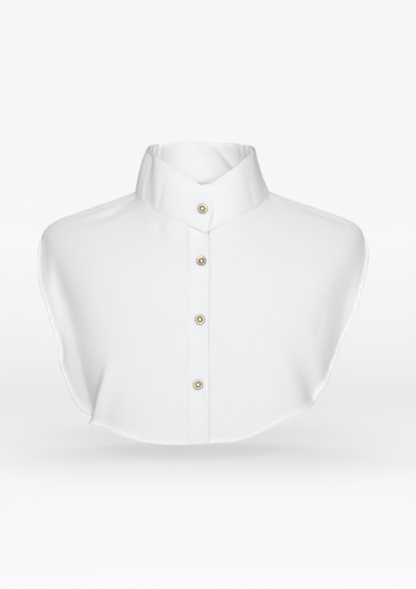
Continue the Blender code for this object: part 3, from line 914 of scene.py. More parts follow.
def shell_object(
    name: str, outer: Array, inner: Array, cloth: Material, hem: Material | None
) -> Object:
    """A closed shell of cloth between two grids of points.

    Args:
        name: The piece's name.
        outer: The outward face, rows by columns, in millimetres.
        inner: The other face.
        cloth: The cloth.
        hem: The cloth of the turned hem along the last rows, where it looks different.

    Returns:
        The new object, with a UV map in metres along and down the cloth.
    """
    count, columns = outer.shape[:2]
    number = np.arange(count * columns).reshape(count, columns)
    quads = np.stack((number[:-1, :-1], number[:-1, 1:], number[1:, 1:], number[1:, :-1]), axis=-1)
    quads = quads.reshape(-1, 4)
    border = np.concatenate((number[0], number[1:, -1], number[-1, -2::-1], number[-2:0:-1, 0]))
    after = np.roll(border, -1)
    rim = np.stack((border, after, after + number.size, border + number.size), axis=-1)
    faces = np.concatenate((quads, quads[:, ::-1] + number.size, rim[:, ::-1]))
    mesh = bpy.data.meshes.new(name)
    points = np.concatenate((outer.reshape(-1, 3), inner.reshape(-1, 3))) * MM
    mesh.from_pydata(points.tolist(), [], faces.tolist())
    maker = bmesh.new()
    maker.from_mesh(mesh)
    bmesh.ops.recalc_face_normals(maker, faces=maker.faces)
    maker.to_mesh(mesh)
    maker.free()
    across, down = lengths_along(outer, 1) * MM, lengths_along(outer, 0) * MM
    flat = np.tile(np.stack((across, down), axis=-1).reshape(-1, 2), (2, 1))
    corners = np.zeros(len(mesh.loops), np.int32)
    mesh.loops.foreach_get("vertex_index", corners)
    mesh.uv_layers.new(name="cloth").data.foreach_set("uv", flat[corners].astype(np.float32).ravel())
    mesh.materials.append(cloth)
    if hem is not None:
        mesh.materials.append(hem)
        row = np.repeat(np.arange(count - 1), columns - 1)
        turned = np.concatenate((row, row, np.full(len(rim), count))) >= count - HEM_WHITE_ROWS
        mesh.polygons.foreach_set("material_index", turned.astype(np.int32))
    mesh.shade_smooth()
    ends = np.zeros(2 * len(mesh.edges), np.int32)
    mesh.edges.foreach_get("vertices", ends)
    first, last = ends.reshape(-1, 2).T
    rim_points = np.concatenate((border, border + number.size))
    on_rim = np.isin(first, rim_points) & np.isin(last, rim_points)
    mesh.edges.foreach_set("use_edge_sharp", on_rim & ((first < number.size) == (last < number.size)))
    return placed(name, mesh)


class Sheet(NamedTuple):
    """A piece of cloth: its two faces, its finishes, and what it stands for."""

    name: str
    solid: str
    slot: str
    faces: tuple[Array, Array]
    cloth: Material
    hem: Material | None = None

    def build(self) -> Object:
        """Makes the piece, attaches it to what carries it and hides the solid that it stands for.

        Returns:
            The piece.
        """
        piece = shell_object(self.name, *self.faces, self.cloth, self.hem)
        declare(piece, self.solid)
        side, fall = (np.diff(self.faces[0], axis=axis) for axis in (1, 0))
        area = float(np.linalg.norm(np.cross(side[:-1], fall[:, :-1]), axis=-1).sum()) * MM * MM
        LOG.info("%s: %.4f m2", self.name, area)
        return piece


class Side(Enum):
    """The three panels of the bib, by the wearer's side."""

    RIGHT = -1
    LEFT = 1
    BACK = 0


@dataclass(frozen=True)
class Panel:
    """One panel of the bib, cut from single cloth with a narrow turned hem.

    Lift brings its side edge forward, roll turns its hem up at the wearer's right, and first_tuck is how
    far from its first column the cloth dips under its neighbour.
    """

    solid: str
    side: Side
    cut: Cut
    folds: tuple[Fold, ...]
    crowds: tuple[Crowd, ...]
    seed: int
    flat: tuple[float, float]
    area: float
    lift: float = 0.0
    roll: float = 0.0
    first_tuck: float = 0.0
    columns: int = 165
    body_rows: int = 118

    def edge_places(self) -> Array:
        """Works out where the rows of the free edge lie.

        Returns:
            Their angles and levels, ending at the tip of the shoulder.
        """
        side, behind = self.side.value, self.side is Side.BACK
        levels = np.linspace(0, len(SECTIONS) - 1, FINE_STEPS)
        rings = section_at(levels)
        depth, drop = (rings.back, rings.back_drop) if behind else (rings.front, rings.front_drop)
        places = []
        for row in self.cut.hem:
            sine = np.clip(np.abs(row.x) / rings.half_width, 0, 1)
            reach = (1 - sine**rings.flat) ** (1 / rings.turn)
            level = np.interp(-row.z, drop * reach**SHOULDER_ROUND - rings.side_z, levels)
            angle = math.asin(row.x / section_at(level).half_width)
            places.append((math.pi - angle if behind else angle, level))
        for row in self.cut.side:
            reach = np.clip(row.away / depth, 0, 1)
            level = np.interp(-row.z, drop * reach**SHOULDER_ROUND - rings.side_z, levels)
            ring = section_at(level)
            share = row.away / (ring.back if behind else ring.front)
            angle = math.asin((1 - share**ring.turn) ** (1 / ring.flat))
            places.append((math.pi - angle if behind else side * angle, level))
        places.append((math.pi / 2 if behind else side * math.pi / 2, SHOULDER_TIP_LEVEL))
        return np.array(places)

    def edge(self, shares: Array) -> Array:
        """Reads the free edge.

        Args:
            shares: Shares of its length.

        Returns:
            The angles and levels there.
        """
        places = self.edge_places()
        run = lengths_along(plain_bib(places[:, 0], places[:, 1])[None], 1)[0]
        return curve(run / run[-1], places, shares)

    def frame_of_columns(self) -> tuple[Array, Array, Array]:
        """How the panel's columns fan out.

        Returns:
            Each column's turn from 0 at the centre to 1 at the shoulder seam, its angle on the neck seam,
            and its angle and level on the free edge.
        """
        shares = gathered_shares(self.columns, self.crowds)
        if self.side is not Side.BACK:
            centre_x = PLACKET_SEAM_X + PLACKET_TUCK if self.side is Side.RIGHT else UNDERLAP_X
            first = math.asin(centre_x / SECTIONS[0].half_width)
            end = self.side.value * math.pi / 2
            return shares, first + (end - first) * shares**NECK_SPREAD, self.edge(shares)
        turned = 2 * shares - 1
        edge = self.edge(np.abs(turned))
        edge[:, 0] = np.where(turned < 0, 2 * math.pi - edge[:, 0], edge[:, 0])
        return np.abs(turned), math.pi - turned * math.pi / 2, edge

    def fan(self, down: Array, shares: Array, neck: Array, edge: Array) -> tuple[Array, Array]:
        """Angles and levels of points on the columns.

        Args:
            down: Shares of each column, rows by columns.
            shares: Each column's turn.
            neck: Each column's angle on the neck seam.
            edge: Each column's angle and level on the free edge.

        Returns:
            The angles and the levels.
        """
        level = edge[:, 1] * down
        neck_x = SECTIONS[0].half_width * np.sin(neck)
        edge_x = section_at(edge[:, 1]).half_width * np.sin(edge[:, 0])
        sine = (neck_x + (edge_x - neck_x) * down) / section_at(level).half_width
        straight = np.arcsin(np.clip(sine, -1, 1))
        if self.side is Side.BACK:
            straight = math.pi - straight
        turned = neck + (edge[:, 0] - neck) * down
        return straight + (turned - straight) * shares**2, level

    def places(self) -> tuple[Array, Array]:
        """Lays out the panel's grid, with rows at set distances from the neck seam and the hem.

        Returns:
            The angles and the levels of its points.
        """
        shares, neck, edge = self.frame_of_columns()
        if self.side is Side.RIGHT:
            tuck = PLACKET_TUCK / section_at(edge[:, 1]).half_width
            edge[:, 0] += tuck * (1 - ease(0, PLACKET_TUCK_SHARE, shares))
        fine = np.linspace(0, 1, COLUMN_STEPS)
        down = np.broadcast_to(fine[:, None], (COLUMN_STEPS, self.columns))
        run = lengths_along(plain_bib(*self.fan(down, shares, neck, edge)), 0)
        hem = HEM.away[::-1]
        wanted = []
        for column in range(self.columns):
            length = run[-1, column]
            middle = np.linspace(NECK_ROWS[-1], length - hem[0], self.body_rows + 2)[1:-1]
            at = np.concatenate((NECK_ROWS, middle, length - hem))
            wanted.append(np.interp(at, run[:, column], fine))
        return self.fan(np.stack(wanted, axis=1), shares, neck, edge)

    def rise(self, plain: Array, across: Array, from_neck: Array, seams: Array) -> Array:
        """How far the cloth swells, ripples at its stitching and dips at its seams.

        Args:
            plain: The panel's points without folds.
            across: Lengths along its rows.
            from_neck: Lengths down its columns.
            seams: How far each point is from the nearest seam.

        Returns:
            The rise at each point, in millimetres.
        """
        x, z = plain[..., 0] + PATTERN_X, plain[..., 2] + PATTERN_Z
        rise = BROAD_SWELL * drift(self.seed, x, z, BROAD_CELL)
        rise += FINE_SWELL * drift(self.seed + 1, x, z, FINE_CELL)
        rise *= ease(0, SWELL_FADE, seams)
        from_stitches = np.abs(from_neck[-1] - from_neck - HEM.away[HEM_STITCH_ROW])
        rise += HEM_PUCKER * pucker(self.seed + 2, across[-1], from_stitches)
        rise += pucker(self.seed + 3, across, from_neck)
        rise -= NECK_TUCK * (1 - ease(0, NECK_ROWS[-1], from_neck))
        rise -= SEAM_TUCK * (1 - ease(0, SEAM_TUCK_REACH, across[:, -1:] - across))
        if self.first_tuck > 0:
            rise -= SEAM_TUCK * (1 - ease(0, self.first_tuck, across))
        return rise

    def faces(self) -> tuple[Array, Array]:
        """Hangs the panel and gives it its thickness and its hem.

        Returns:
            Its outer and inner faces, in millimetres.
        """
        angle, level = self.places()
        plain, facing = plain_bib(angle, level), plain_normals(angle, level)
        points = fold_cloth(plain, facing, self.folds)
        from_neck, across = lengths_along(points, 0), lengths_along(points, 1)
        from_hem, from_last = from_neck[-1] - from_neck, across[:, -1:] - across
        seams = np.minimum(from_neck, from_last)
        if self.side is Side.BACK:
            seams = np.minimum(seams, across)
        sideways = np.abs(facing[..., 0])
        by_hem = 1 - ease(0, HEM_FLARE_REACH, from_hem)
        flare = (HEM_FLARE + SIDE_FLARE * sideways) * by_hem * ease(0, SEAM_FADE, seams)
        flare += self.roll * bump_at(plain[..., 0], HEM_ROLL_AT, HEM_ROLL_REACH) * by_hem
        points = moved(points, facing, flare)
        lift = self.lift * (1 - ease(0, SIDE_LIFT_REACH, from_hem))
        lift *= ease(0, SEAM_FADE, from_last) * sideways
        lift *= LOW_LIFT_SHARE + (1 - LOW_LIFT_SHARE) * ease(LOW_LIFT_Z, FULL_LIFT_Z, plain[..., 2])
        points[..., 1] -= lift
        normals = outward_normals(points, facing)
        if self.side is Side.LEFT:
            points = moved(points, normals, -underlap(points[..., 0]))
        rise = self.rise(plain, across, from_neck, seams)
        inland = np.full(len(points) - len(HEM_SHAPE), HEM.away[-1])
        away = np.concatenate((inland, HEM.away[::-1]))[:, None]
        outer, inner = (rise + np.interp(away, HEM.away, shape) for shape in (HEM.outer, HEM.inner))
        return moved(points, normals, outer), moved(points, normals, inner)


class Thread(NamedTuple):
    """Lines that one kind of stitching follows, in millimetres."""

    name: str
    lines: list[Array]

    def guide(self) -> Object:
        """Makes a guide whose mesh holds only the lines.

        Returns:
            The guide.
        """
        points, edges = [], []
        for line in self.lines:
            start = len(points)
            points += (line * MM).tolist()
            edges += [(start + n, start + n + 1) for n in range(len(line) - 1)]
        mesh = bpy.data.meshes.new(self.name + "_guide")
        mesh.from_pydata(points, edges, [])
        return placed(self.name + "_guide", mesh)


@dataclass(frozen=True)
class StitchTree:
    """Geometry Nodes that lay stitches of one length along every line of a mesh."""

    length: float = 0.0021
    spacing: float = 0.0026
    radius: float = 0.00017
    shortest: float = 0.88
    longest: float = 1.1
    seed: int = 7

    def tree(self) -> Tree:
        """Makes the tree, with its sizes as named inputs.

        Returns:
            The tree.
        """
        sizes = dict.fromkeys(("Stitch Length", "Spacing", "Thread Radius"), "Float")
        takes = {"Lines": "Geometry", **sizes, "Seed": "Int", "Thread": "Material"}
        tree = new_tree("stitching", "GeometryNodeTree", takes, {"Stitches": "Geometry"})
        graph = Graph(tree)
        given = graph.add("NodeGroupInput").outputs
        lines = graph.put("GeometryNodeMeshToCurve", Mesh=given["Lines"]).outputs[0]
        spots = graph.add("GeometryNodeCurveToPoints", mode="LENGTH")
        graph.feed(spots, Curve=lines, Length=given["Spacing"])
        turn = graph.add("FunctionNodeAlignRotationToVector", axis="X")
        graph.feed(turn, Vector=spots.outputs["Tangent"])
        bead = graph.put("GeometryNodeMeshUVSphere", Segments=6, Rings=5, Radius=1.0).outputs["Mesh"]
        half, thin = graph.math("MULTIPLY", given["Stitch Length"], 0.5), given["Thread Radius"]
        size = graph.put("ShaderNodeCombineXYZ", X=half, Y=thin, Z=thin).outputs[0]
        stitch = graph.put("GeometryNodeTransform", Geometry=bead, Scale=size).outputs[0]
        uneven = graph.add("FunctionNodeRandomValue", data_type="FLOAT")
        graph.feed(uneven, i2=self.shortest, i3=self.longest, Seed=given["Seed"])
        laid = graph.put(
            "GeometryNodeInstanceOnPoints",
            Points=spots.outputs["Points"],
            Instance=stitch,
            Rotation=turn.outputs[0],
            Scale=uneven.outputs[1],
        )
        real = graph.put("GeometryNodeRealizeInstances", Geometry=laid.outputs[0]).outputs[0]
        smooth = graph.put("GeometryNodeSetShadeSmooth", Geometry=real).outputs[0]
        dressed = graph.put("GeometryNodeSetMaterial", Geometry=smooth, Material=given["Thread"]).outputs[0]
        graph.put("NodeGroupOutput", Stitches=dressed)
        return tree

    def sew(self, thread: Thread, tree: Tree, material: Material) -> None:
        """Args:
            thread: The lines.
            tree: The tree made by this class.
            material: The thread's material.
        """
        guide = thread.guide()
        modifier = guide.modifiers.new("stitching", "NODES")
        modifier.node_group = tree
        values = {
            "Stitch Length": self.length,
            "Spacing": self.spacing,
            "Thread Radius": self.radius,
            "Seed": self.seed,
            "Thread": material,
        }
        for item in tree.interface.items_tree:
            if item.name in values:
                modifier[item.identifier] = values[item.name]
        evaluated = guide.evaluated_get(bpy.context.evaluated_depsgraph_get())
        mesh = bpy.data.meshes.new_from_object(evaluated)
        mesh.name = thread.name
        bpy.data.objects.remove(guide, do_unlink=True)
        declare(placed(thread.name, mesh))
        LOG.info("%s: %d faces", thread.name, len(mesh.polygons))


@dataclass(frozen=True)
class Bib:
    """The two fronts and the back, with their hems."""

    panels: tuple[Panel, ...] = (
        Panel(
            solid="front_right",
            side=Side.RIGHT,
            cut=FRONT_RIGHT_CUT,
            folds=FRONT_FOLDS + FRONT_CREASES,
            crowds=rows(Crowd, (0.345, 0.06, 2.2), (0.0, 0.006, 3.0), (1.0, 0.006, 5.0)),
            seed=11,
            flat=(0.21, 0.29),
            area=0.047,
            lift=5.5,
            roll=2.4,
            first_tuck=2.0,
        ),
        Panel(
            solid="front_left",
            side=Side.LEFT,
            cut=FRONT_LEFT_CUT,
            folds=FRONT_FOLDS + FRONT_CREASES,
            crowds=rows(Crowd, (0.40, 0.07, 1.4), (1.0, 0.006, 5.0)),
            seed=23,
            flat=(0.22, 0.29),
            area=0.052,
            lift=1.8,
        ),
        Panel(
            solid="back",
            side=Side.BACK,
            cut=BACK_CUT,
            folds=BACK_FOLDS + BACK_CREASES,
            crowds=rows(Crowd, (0.0, 0.004, 5.0), (1.0, 0.004, 5.0)),
            seed=37,
            flat=(0.40, 0.27),
            area=0.092,
            first_tuck=SEAM_TUCK_REACH,
            columns=201,
            body_rows=104,
        ),
    )

    def build(self, palette: Palette) -> Thread:
        """Makes the panels.

        Args:
            palette: The shared finishes.

        Returns:
            The lines of stitching along both faces of the hems.
        """
        hems = []
        for panel in self.panels:
            outer, inner = panel.faces()
            name = panel.solid + "_cloth"
            piece = Sheet(name, panel.solid, "cloth", (outer, inner), palette.cloth, palette.hem).build()
            row = -1 - HEM_STITCH_ROW
            lift = unit(outer[row] - inner[row]) * HEM_THREAD_LIFT
            hems += [outer[row] + lift, inner[row] - lift]
        return Thread("hem_stitches", hems)


@dataclass(frozen=True)
class Placket:
    """The buttonhole band, of doubled cloth, edge-stitched on both sides."""

    proud: float = 0.85
    thickness: float = 1.0
    stitch_at: float = 2.6
    row_count: int = 250
    edge_columns: tuple[float, ...] = (0.0, 0.3, 0.7, 1.2, 1.9, 2.3, 2.6, 2.9, 3.4, 4.4)
    middle_columns: int = 9
    top_tuck: float = 0.6
    top_tuck_reach: float = 2.0
    seam_step: float = 0.12
    seam_width: float = 3.2
    groove: float = 0.12
    groove_reach: float = 0.6
    wave: float = 0.9
    wave_cell: float = 46.0
    ripple: float = 0.25
    ripple_cell: float = 16.0
    hem_share: float = 0.45
    wave_grows: tuple[float, float] = (20, 60)
    ripple_fade: float = 12
    inner_share: float = 0.5
    first_stitch_row: int = 4
    wave_seed: int = 5
    seed: int = 51

    def columns(self) -> Array:
        """Spreads the columns.

        Returns:
            The x of each, from the seam to the free edge.
        """
        width = PLACKET_EDGE_X - PLACKET_SEAM_X
        edge = np.array(self.edge_columns)
        middle = np.linspace(edge[-1], width - edge[-1], self.middle_columns + 2)[1:-1]
        return PLACKET_SEAM_X + np.concatenate((edge, middle, width - edge[::-1]))

    def base(self) -> tuple[Array, Array]:
        """Reads the bib under the band.

        Returns:
            Its points and their normals.
        """
        xs = self.columns()
        hem = columns_of((FRONT_RIGHT_CUT.hem[0], FRONT_LEFT_CUT.hem[1]))
        foot = np.array([level_on_front(x, z) for x, z in zip(xs, np.interp(xs, hem.x, hem.z))])
        length = -hem.z[0]
        hem_rows = 1 - HEM.away[::-1] / length
        shares = np.concatenate((np.linspace(0, hem_rows[0], self.row_count + 1)[:-1], hem_rows))[:, None]
        down = shares * length
        wave = self.wave * drift(self.wave_seed, down, 0.0, self.wave_cell)
        xs = xs + wave * ease(*self.wave_grows, down)
        level = shares * foot
        angle = np.arcsin(xs / section_at(level).half_width)
        plain, facing = plain_bib(angle, level), plain_normals(angle, level)
        points = fold_cloth(plain, facing, FRONT_FOLDS + PLACKET_CREASES)
        return points, outward_normals(points, facing)

    def build(self, palette: Palette) -> Thread:
        """Makes the band.

        Args:
            palette: The shared finishes.

        Returns:
            The lines of stitching down both edges.
        """
        points, normals = self.base()
        down, across = lengths_along(points, 0), lengths_along(points, 1)
        right, foot = across[:, -1:] - across, down[-1] - down
        seam = (self.proud - self.seam_step) * (1 - ease(0, self.seam_width, across))
        groove = self.groove * bump_at(across, self.stitch_at, self.groove_reach)
        fall = edge_rise(right, self.stitch_at) - (seam + groove)
        ripple = pucker(self.seed, down, across) + pucker(self.seed + 1, down, right)
        uneven = drift(self.seed + 2, across, down, self.ripple_cell)
        ripple += self.ripple * uneven * ease(0, self.ripple_fade, down)
        outer = self.proud + fall + ripple + self.hem_share * np.interp(foot, HEM.away, HEM.outer)
        outer -= self.top_tuck * (1 - ease(0, self.top_tuck_reach, down))
        inner = self.proud - self.thickness - fall * self.inner_share + ripple
        faces = moved(points, normals, outer), moved(points, normals, inner)
        piece = Sheet("placket_band", "placket", "band_cloth", faces, palette.band).build()
        column = self.edge_columns.index(self.stitch_at)
        lifted = (faces[0] + normals * BAND_THREAD_LIFT)[self.first_stitch_row :]
        return Thread("placket_stitches", [lifted[:, column], lifted[:, -1 - column]])


@dataclass(frozen=True)
class Collar:
    """The high band round the neck, of doubled cloth, whose rounded end laps over the other.

    The lapped end stands proud by lap over the last lap_full to lap_none of its length, and above
    fold_z from the seam it steps in along a groove.
    """

    proud: float = 0.45
    thickness: float = 1.1
    thinnest: float = 0.3
    stitch_at: float = 1.9
    foot_stitch_at: float = 1.6
    column_count: int = 300
    end_crowd: tuple[float, float] = (0.012, 3.0)
    top_rows: tuple[float, ...] = (0.0, 0.25, 0.6, 1.0, 1.5, 1.9, 2.3, 3.0, 4.0)
    foot_rows: tuple[float, ...] = (0.0, 0.3, 0.7, 1.2, 1.6, 2.0, 2.8, 4.0)
    middle_rows: int = 34
    seam_step: float = 0.06
    seam_width: float = 2.6
    lap: float = 1.3
    lap_full: float = 22
    lap_none: float = 34
    fold_step: float = 0.8
    fold_groove: float = 0.5
    fold_z: float = 6.4
    fold_reach: float = 1.1
    end_fall: float = 1.8
    end_reach: float = 1.1
    ripple: float = 0.3
    ripple_cell: float = 18.0
    ripple_fade: float = 8
    inner_share: float = 0.6
    lap_heights: tuple[float, float] = (40, 20)
    fold_heights: tuple[float, float] = (5.6, 4.4)
    seed: int = 61

    def x_at(self, turn: Any, drop: Any) -> Array:
        """The band's x at an angle round the neck and a drop down from its top edge."""
        half = COLLAR_HALF_WIDTH + (SECTIONS[0].half_width - COLLAR_HALF_WIDTH) * drop
        return COLLAR_X + (NECK_X - COLLAR_X) * drop + half * np.sin(turn)

    def turn_at(self, x: Any, drop: Any) -> Array:
        """Angle near the centre front at which the band passes x."""
        middle = self.x_at(0.0, drop)
        return np.arcsin((x - middle) / (self.x_at(math.pi / 2, drop) - middle))

    @staticmethod
    def way_out(turn: Array) -> Array:
        """The level direction away from the neck at an angle round it."""
        return np.stack((np.sin(turn), -np.cos(turn), np.zeros_like(turn)), axis=-1)

    def surface(self, turn: Array, drop: Array) -> Array:
        """Points of the band.

        Args:
            turn: Angle round the neck.
            drop: 0 at the top edge and 1 at the seam.

        Returns:
            The points, in millimetres.
        """
        turn, drop = np.broadcast_arrays(np.asarray(turn, float), np.asarray(drop, float))
        degrees = np.degrees(turn)
        x = COLLAR_X + COLLAR_HALF_WIDTH * np.sin(turn)
        y = COLLAR_Y - COLLAR_HALF_DEPTH * np.cos(turn)
        top = np.stack((x, y, curve(TOP.degrees, TOP.z, degrees)), axis=-1)
        seam = plain_bib(turn, np.zeros_like(turn))
        bow = 4 * drop * (1 - drop)
        bowed = curve(SWELLS.degrees, SWELLS.out, degrees) * bow
        for fold in BAND_FOLDS + BAND_CREASES:
            middle = fold.top_degrees + (fold.foot_degrees - fold.top_degrees) * drop
            depth = fold.top_depth + (fold.foot_depth - fold.top_depth) * drop
            width = fold.width_degrees * np.where(degrees > middle, fold.rising, fold.falling)
            bowed = bowed - depth * bump_at(degrees, middle, width) * np.minimum(bow / BAND_FOLD_FADE, 1)
        return moved(top + (seam - top) * drop[..., None], self.way_out(turn), bowed)

    def grid(self) -> tuple[Array, Array]:
        """Lays out the band's grid, from the under end round the back to the end on top.

        Returns:
            The angles and the drops of its points.
        """
        crowds = tuple(Crowd(end, *self.end_crowd) for end in (0.0, 1.0))
        share = gathered_shares(self.column_count, crowds)
        drops, top_x, under_x = curve(ENDS.drop, COLLAR_ENDS, np.linspace(0, 1, FINE_STEPS)).T
        first = self.turn_at(under_x, drops)
        last = 2 * math.pi + self.turn_at(top_x, drops)
        plain = first[-1] + (last.max() - first[-1]) * share
        length = np.linalg.norm(self.surface(plain, 0.0) - self.surface(plain, 1.0), axis=-1)
        middle = np.linspace(0, 1, self.middle_rows + 2)[1:-1, None]
        top, foot = np.array(self.top_rows)[:, None], np.array(self.foot_rows)[::-1, None]
        span = length - self.top_rows[-1] - self.foot_rows[-1]
        drop = np.concatenate((top + 0 * length, self.top_rows[-1] + span * middle, length - foot)) / length
        last_here = np.interp(drop, drops, last) - last.max()
        first_here = np.interp(drop, drops, first) - first[-1]
        turn = plain + last_here * share**COLLAR_END_REACH + first_here * (1 - share) ** COLLAR_END_REACH
        return turn, drop

    def build(self, palette: Palette) -> Thread:
        """Makes the band.

        Args:
            palette: The shared finishes.

        Returns:
            The lines of stitching round its edges.
        """
        turn, drop = self.grid()
        points = self.surface(turn, drop)
        normals = outward_normals(points, self.way_out(turn))
        points = moved(points, normals, -underlap(points[..., 0]) * (turn < math.pi / 2))
        down, across = lengths_along(points, 0), lengths_along(points, 1)
        foot, from_end = down[-1] - down, across[:, -1:] - across
        ends = np.minimum(across, from_end)
        fall = edge_rise(np.minimum(down, ends), self.stitch_at)
        fall = np.minimum(fall, edge_rise(foot, self.foot_stitch_at))
        fall = np.minimum(fall, -self.end_fall * bump_at(ends, 0, self.end_reach))
        lapped = 1 - ease(self.lap_full, self.lap_none, from_end)
        points = moved(points, normals, self.lap * lapped * ease(*self.lap_heights, foot))
        ripple = pucker(self.seed, across, down) + pucker(self.seed + 1, across, foot)
        ripple += pucker(self.seed + 2, down, ends)
        uneven = drift(self.seed + 3, across, down, self.ripple_cell)
        ripple += self.ripple * uneven * ease(0, self.ripple_fade, ends)
        flush = (1 - ease(0, self.seam_width, foot)) * (1 - lapped)
        outer = (self.proud + fall) * (1 - flush) + self.seam_step * flush + ripple
        outer += self.fold_step * lapped * ease(*self.fold_heights, foot)
        outer -= self.fold_groove * lapped * bump_at(foot, self.fold_z, self.fold_reach)
        inner = self.proud - self.thickness - fall * self.inner_share + ripple
        inner = np.minimum(inner, outer - self.thinnest)
        faces = moved(points, normals, outer), moved(points, normals, inner)
        piece = Sheet("collar_band", "collar", "band_cloth", faces, palette.band).build()
        lifted = faces[0] + normals * BAND_THREAD_LIFT
        row, foot_row = self.top_rows.index(self.stitch_at), -1 - self.foot_rows.index(self.foot_stitch_at)
        inside = np.flatnonzero(ends[row] >= self.stitch_at)
        start, stop = inside[0], inside[-1]
        sides = lifted[foot_row:row:-1, start], lifted[row:foot_row, stop]
        around = np.concatenate((sides[0], lifted[row, start:stop], sides[1]))
        return Thread("collar_stitches", [around, lifted[foot_row, start:stop]])


@dataclass(frozen=True)
class Buttons:
    """Four turned metal buttons: one on the collar and three down the placket."""

    segments: int = 56
    clearance: float = 0.1

    def build(self, collar: Collar, placket: Placket, palette: Palette) -> None:
        """Makes the buttons where the solids have them.

        Args:
            collar: The collar that carries the first.
            placket: The band that carries the rest.
            palette: The shared finishes.
        """
        drop = np.linspace(0, 1, FINE_STEPS)
        turn = 2 * math.pi + collar.turn_at(COLLAR_BUTTON.x, drop)
        here = np.interp(-COLLAR_BUTTON.z, -collar.surface(turn, drop)[:, 2], drop)
        turn_here = 2 * math.pi + float(collar.turn_at(COLLAR_BUTTON.x, here))
        steps = np.array([-1, 0, 1]) * NUDGE
        patch = collar.surface(turn_here + steps, here + steps[:, None])
        facing = outward_normals(patch, np.array((0.0, -1.0, 0.0)))[1, 1]
        point = patch[1, 1] + facing * (collar.proud + collar.lap + self.clearance)
        self.button("button_1", point, facing, COLLAR_BUTTON, palette.metal)
        for number, place in enumerate(FRONT_BUTTONS, start=2):
            level = level_on_front(place.x, place.z)
            angle = math.asin(place.x / float(section_at(level).half_width))
            facing = plain_normals(np.array(angle), np.array(level))
            point = plain_bib(angle, level) + facing * (placket.proud + self.clearance)
            self.button(f"button_{number}", point, facing, place, palette.metal)

    def button(self, name: str, point: Array, facing: Array, place: ButtonPlace, metal: Material) -> None:
        """Turns one button.

        Args:
            name: The solid that it replaces.
            point: The middle of its back.
            facing: The way that the cloth under it faces.
            place: How it leans.
            metal: Its material.
        """
        facing = unit(facing + np.array((place.aside, 0.0, place.up)))
        level = unit(np.cross((0.0, 0.0, 1.0), facing))
        upright = np.cross(facing, level)
        maker = bmesh.new()
        # Each ring's darkness: tarnish in the groove, painted shade on the rim's outer slope
        patina_and_shade_layer = maker.verts.layers.float.new("patina_and_shade")
        rings = []
        for row in BUTTON_TURNINGS:
            ring = []
            for step in range(self.segments if row.radius > 0 else 1):
                angle = step * math.tau / self.segments
                side = level * math.cos(angle) + upright * math.sin(angle)
                vert = maker.verts.new((point + facing * row.height + side * row.radius) * MM)
                vert[patina_and_shade_layer] = row.patina_and_shade
                ring.append(vert)
            rings.append(ring)
        for lower, upper in zip(rings, rings[1:]):
            for step in range(self.segments):
                after = (step + 1) % self.segments
                if len(lower) == 1:
                    maker.faces.new((lower[0], upper[after], upper[step]))
                elif len(upper) == 1:
                    maker.faces.new((lower[step], lower[after], upper[0]))
                else:
                    maker.faces.new((lower[step], lower[after], upper[after], upper[step]))
        bmesh.ops.recalc_face_normals(maker, faces=maker.faces)
        mesh = bpy.data.meshes.new(name + "_metal")
        maker.to_mesh(mesh)
        maker.free()
        mesh.materials.append(metal)
        mesh.shade_smooth()
        declare(placed(name + "_metal", mesh), name)
        LOG.info("%s: %d faces", mesh.name, len(mesh.polygons))


@dataclass(frozen=True)
class Camera:
    """The photograph's view."""

    focal_pixels: float = 2212.0
    width_pixels: float = 416.0
    sensor: float = 36.0
    tilt: float = math.radians(3.0)
    aim: tuple[float, float, float] = (0.0057, -0.050, -0.117)
    reach: float = 2.55

    def build(self) -> None:
        """Makes the camera and gives it to the scene."""
        data = bpy.data.cameras.new("camera")
        data.sensor_width = self.sensor
        data.sensor_fit = "HORIZONTAL"
        data.lens = self.focal_pixels / self.width_pixels * self.sensor
        camera = placed("camera", data)
        away = Vector((0, -math.cos(self.tilt), math.sin(self.tilt)))
        camera.location = Vector(self.aim) + away * self.reach
        camera.rotation_euler = (math.pi / 2 - self.tilt, 0, 0)
        bpy.context.scene.camera = camera


class Lamp(NamedTuple):
    """A square soft light, placed by its angles round the garment in degrees and its distance."""

    name: str
    azimuth: float
    elevation: float
    distance: float
    size: float
    watts: float


class NeckLamp(NamedTuple):
    """A small lamp with a narrow beam into the collar, in metres, degrees and watts."""

    place: tuple[float, float, float]
    aim: tuple[float, float, float]
    size: float
    spread: float
    watts: float


class PaintedGlow(NamedTuple):
    """How bright the floor's painted glow is at a distance behind the garment; the floor is no lamp."""

    y: float
    strength: float


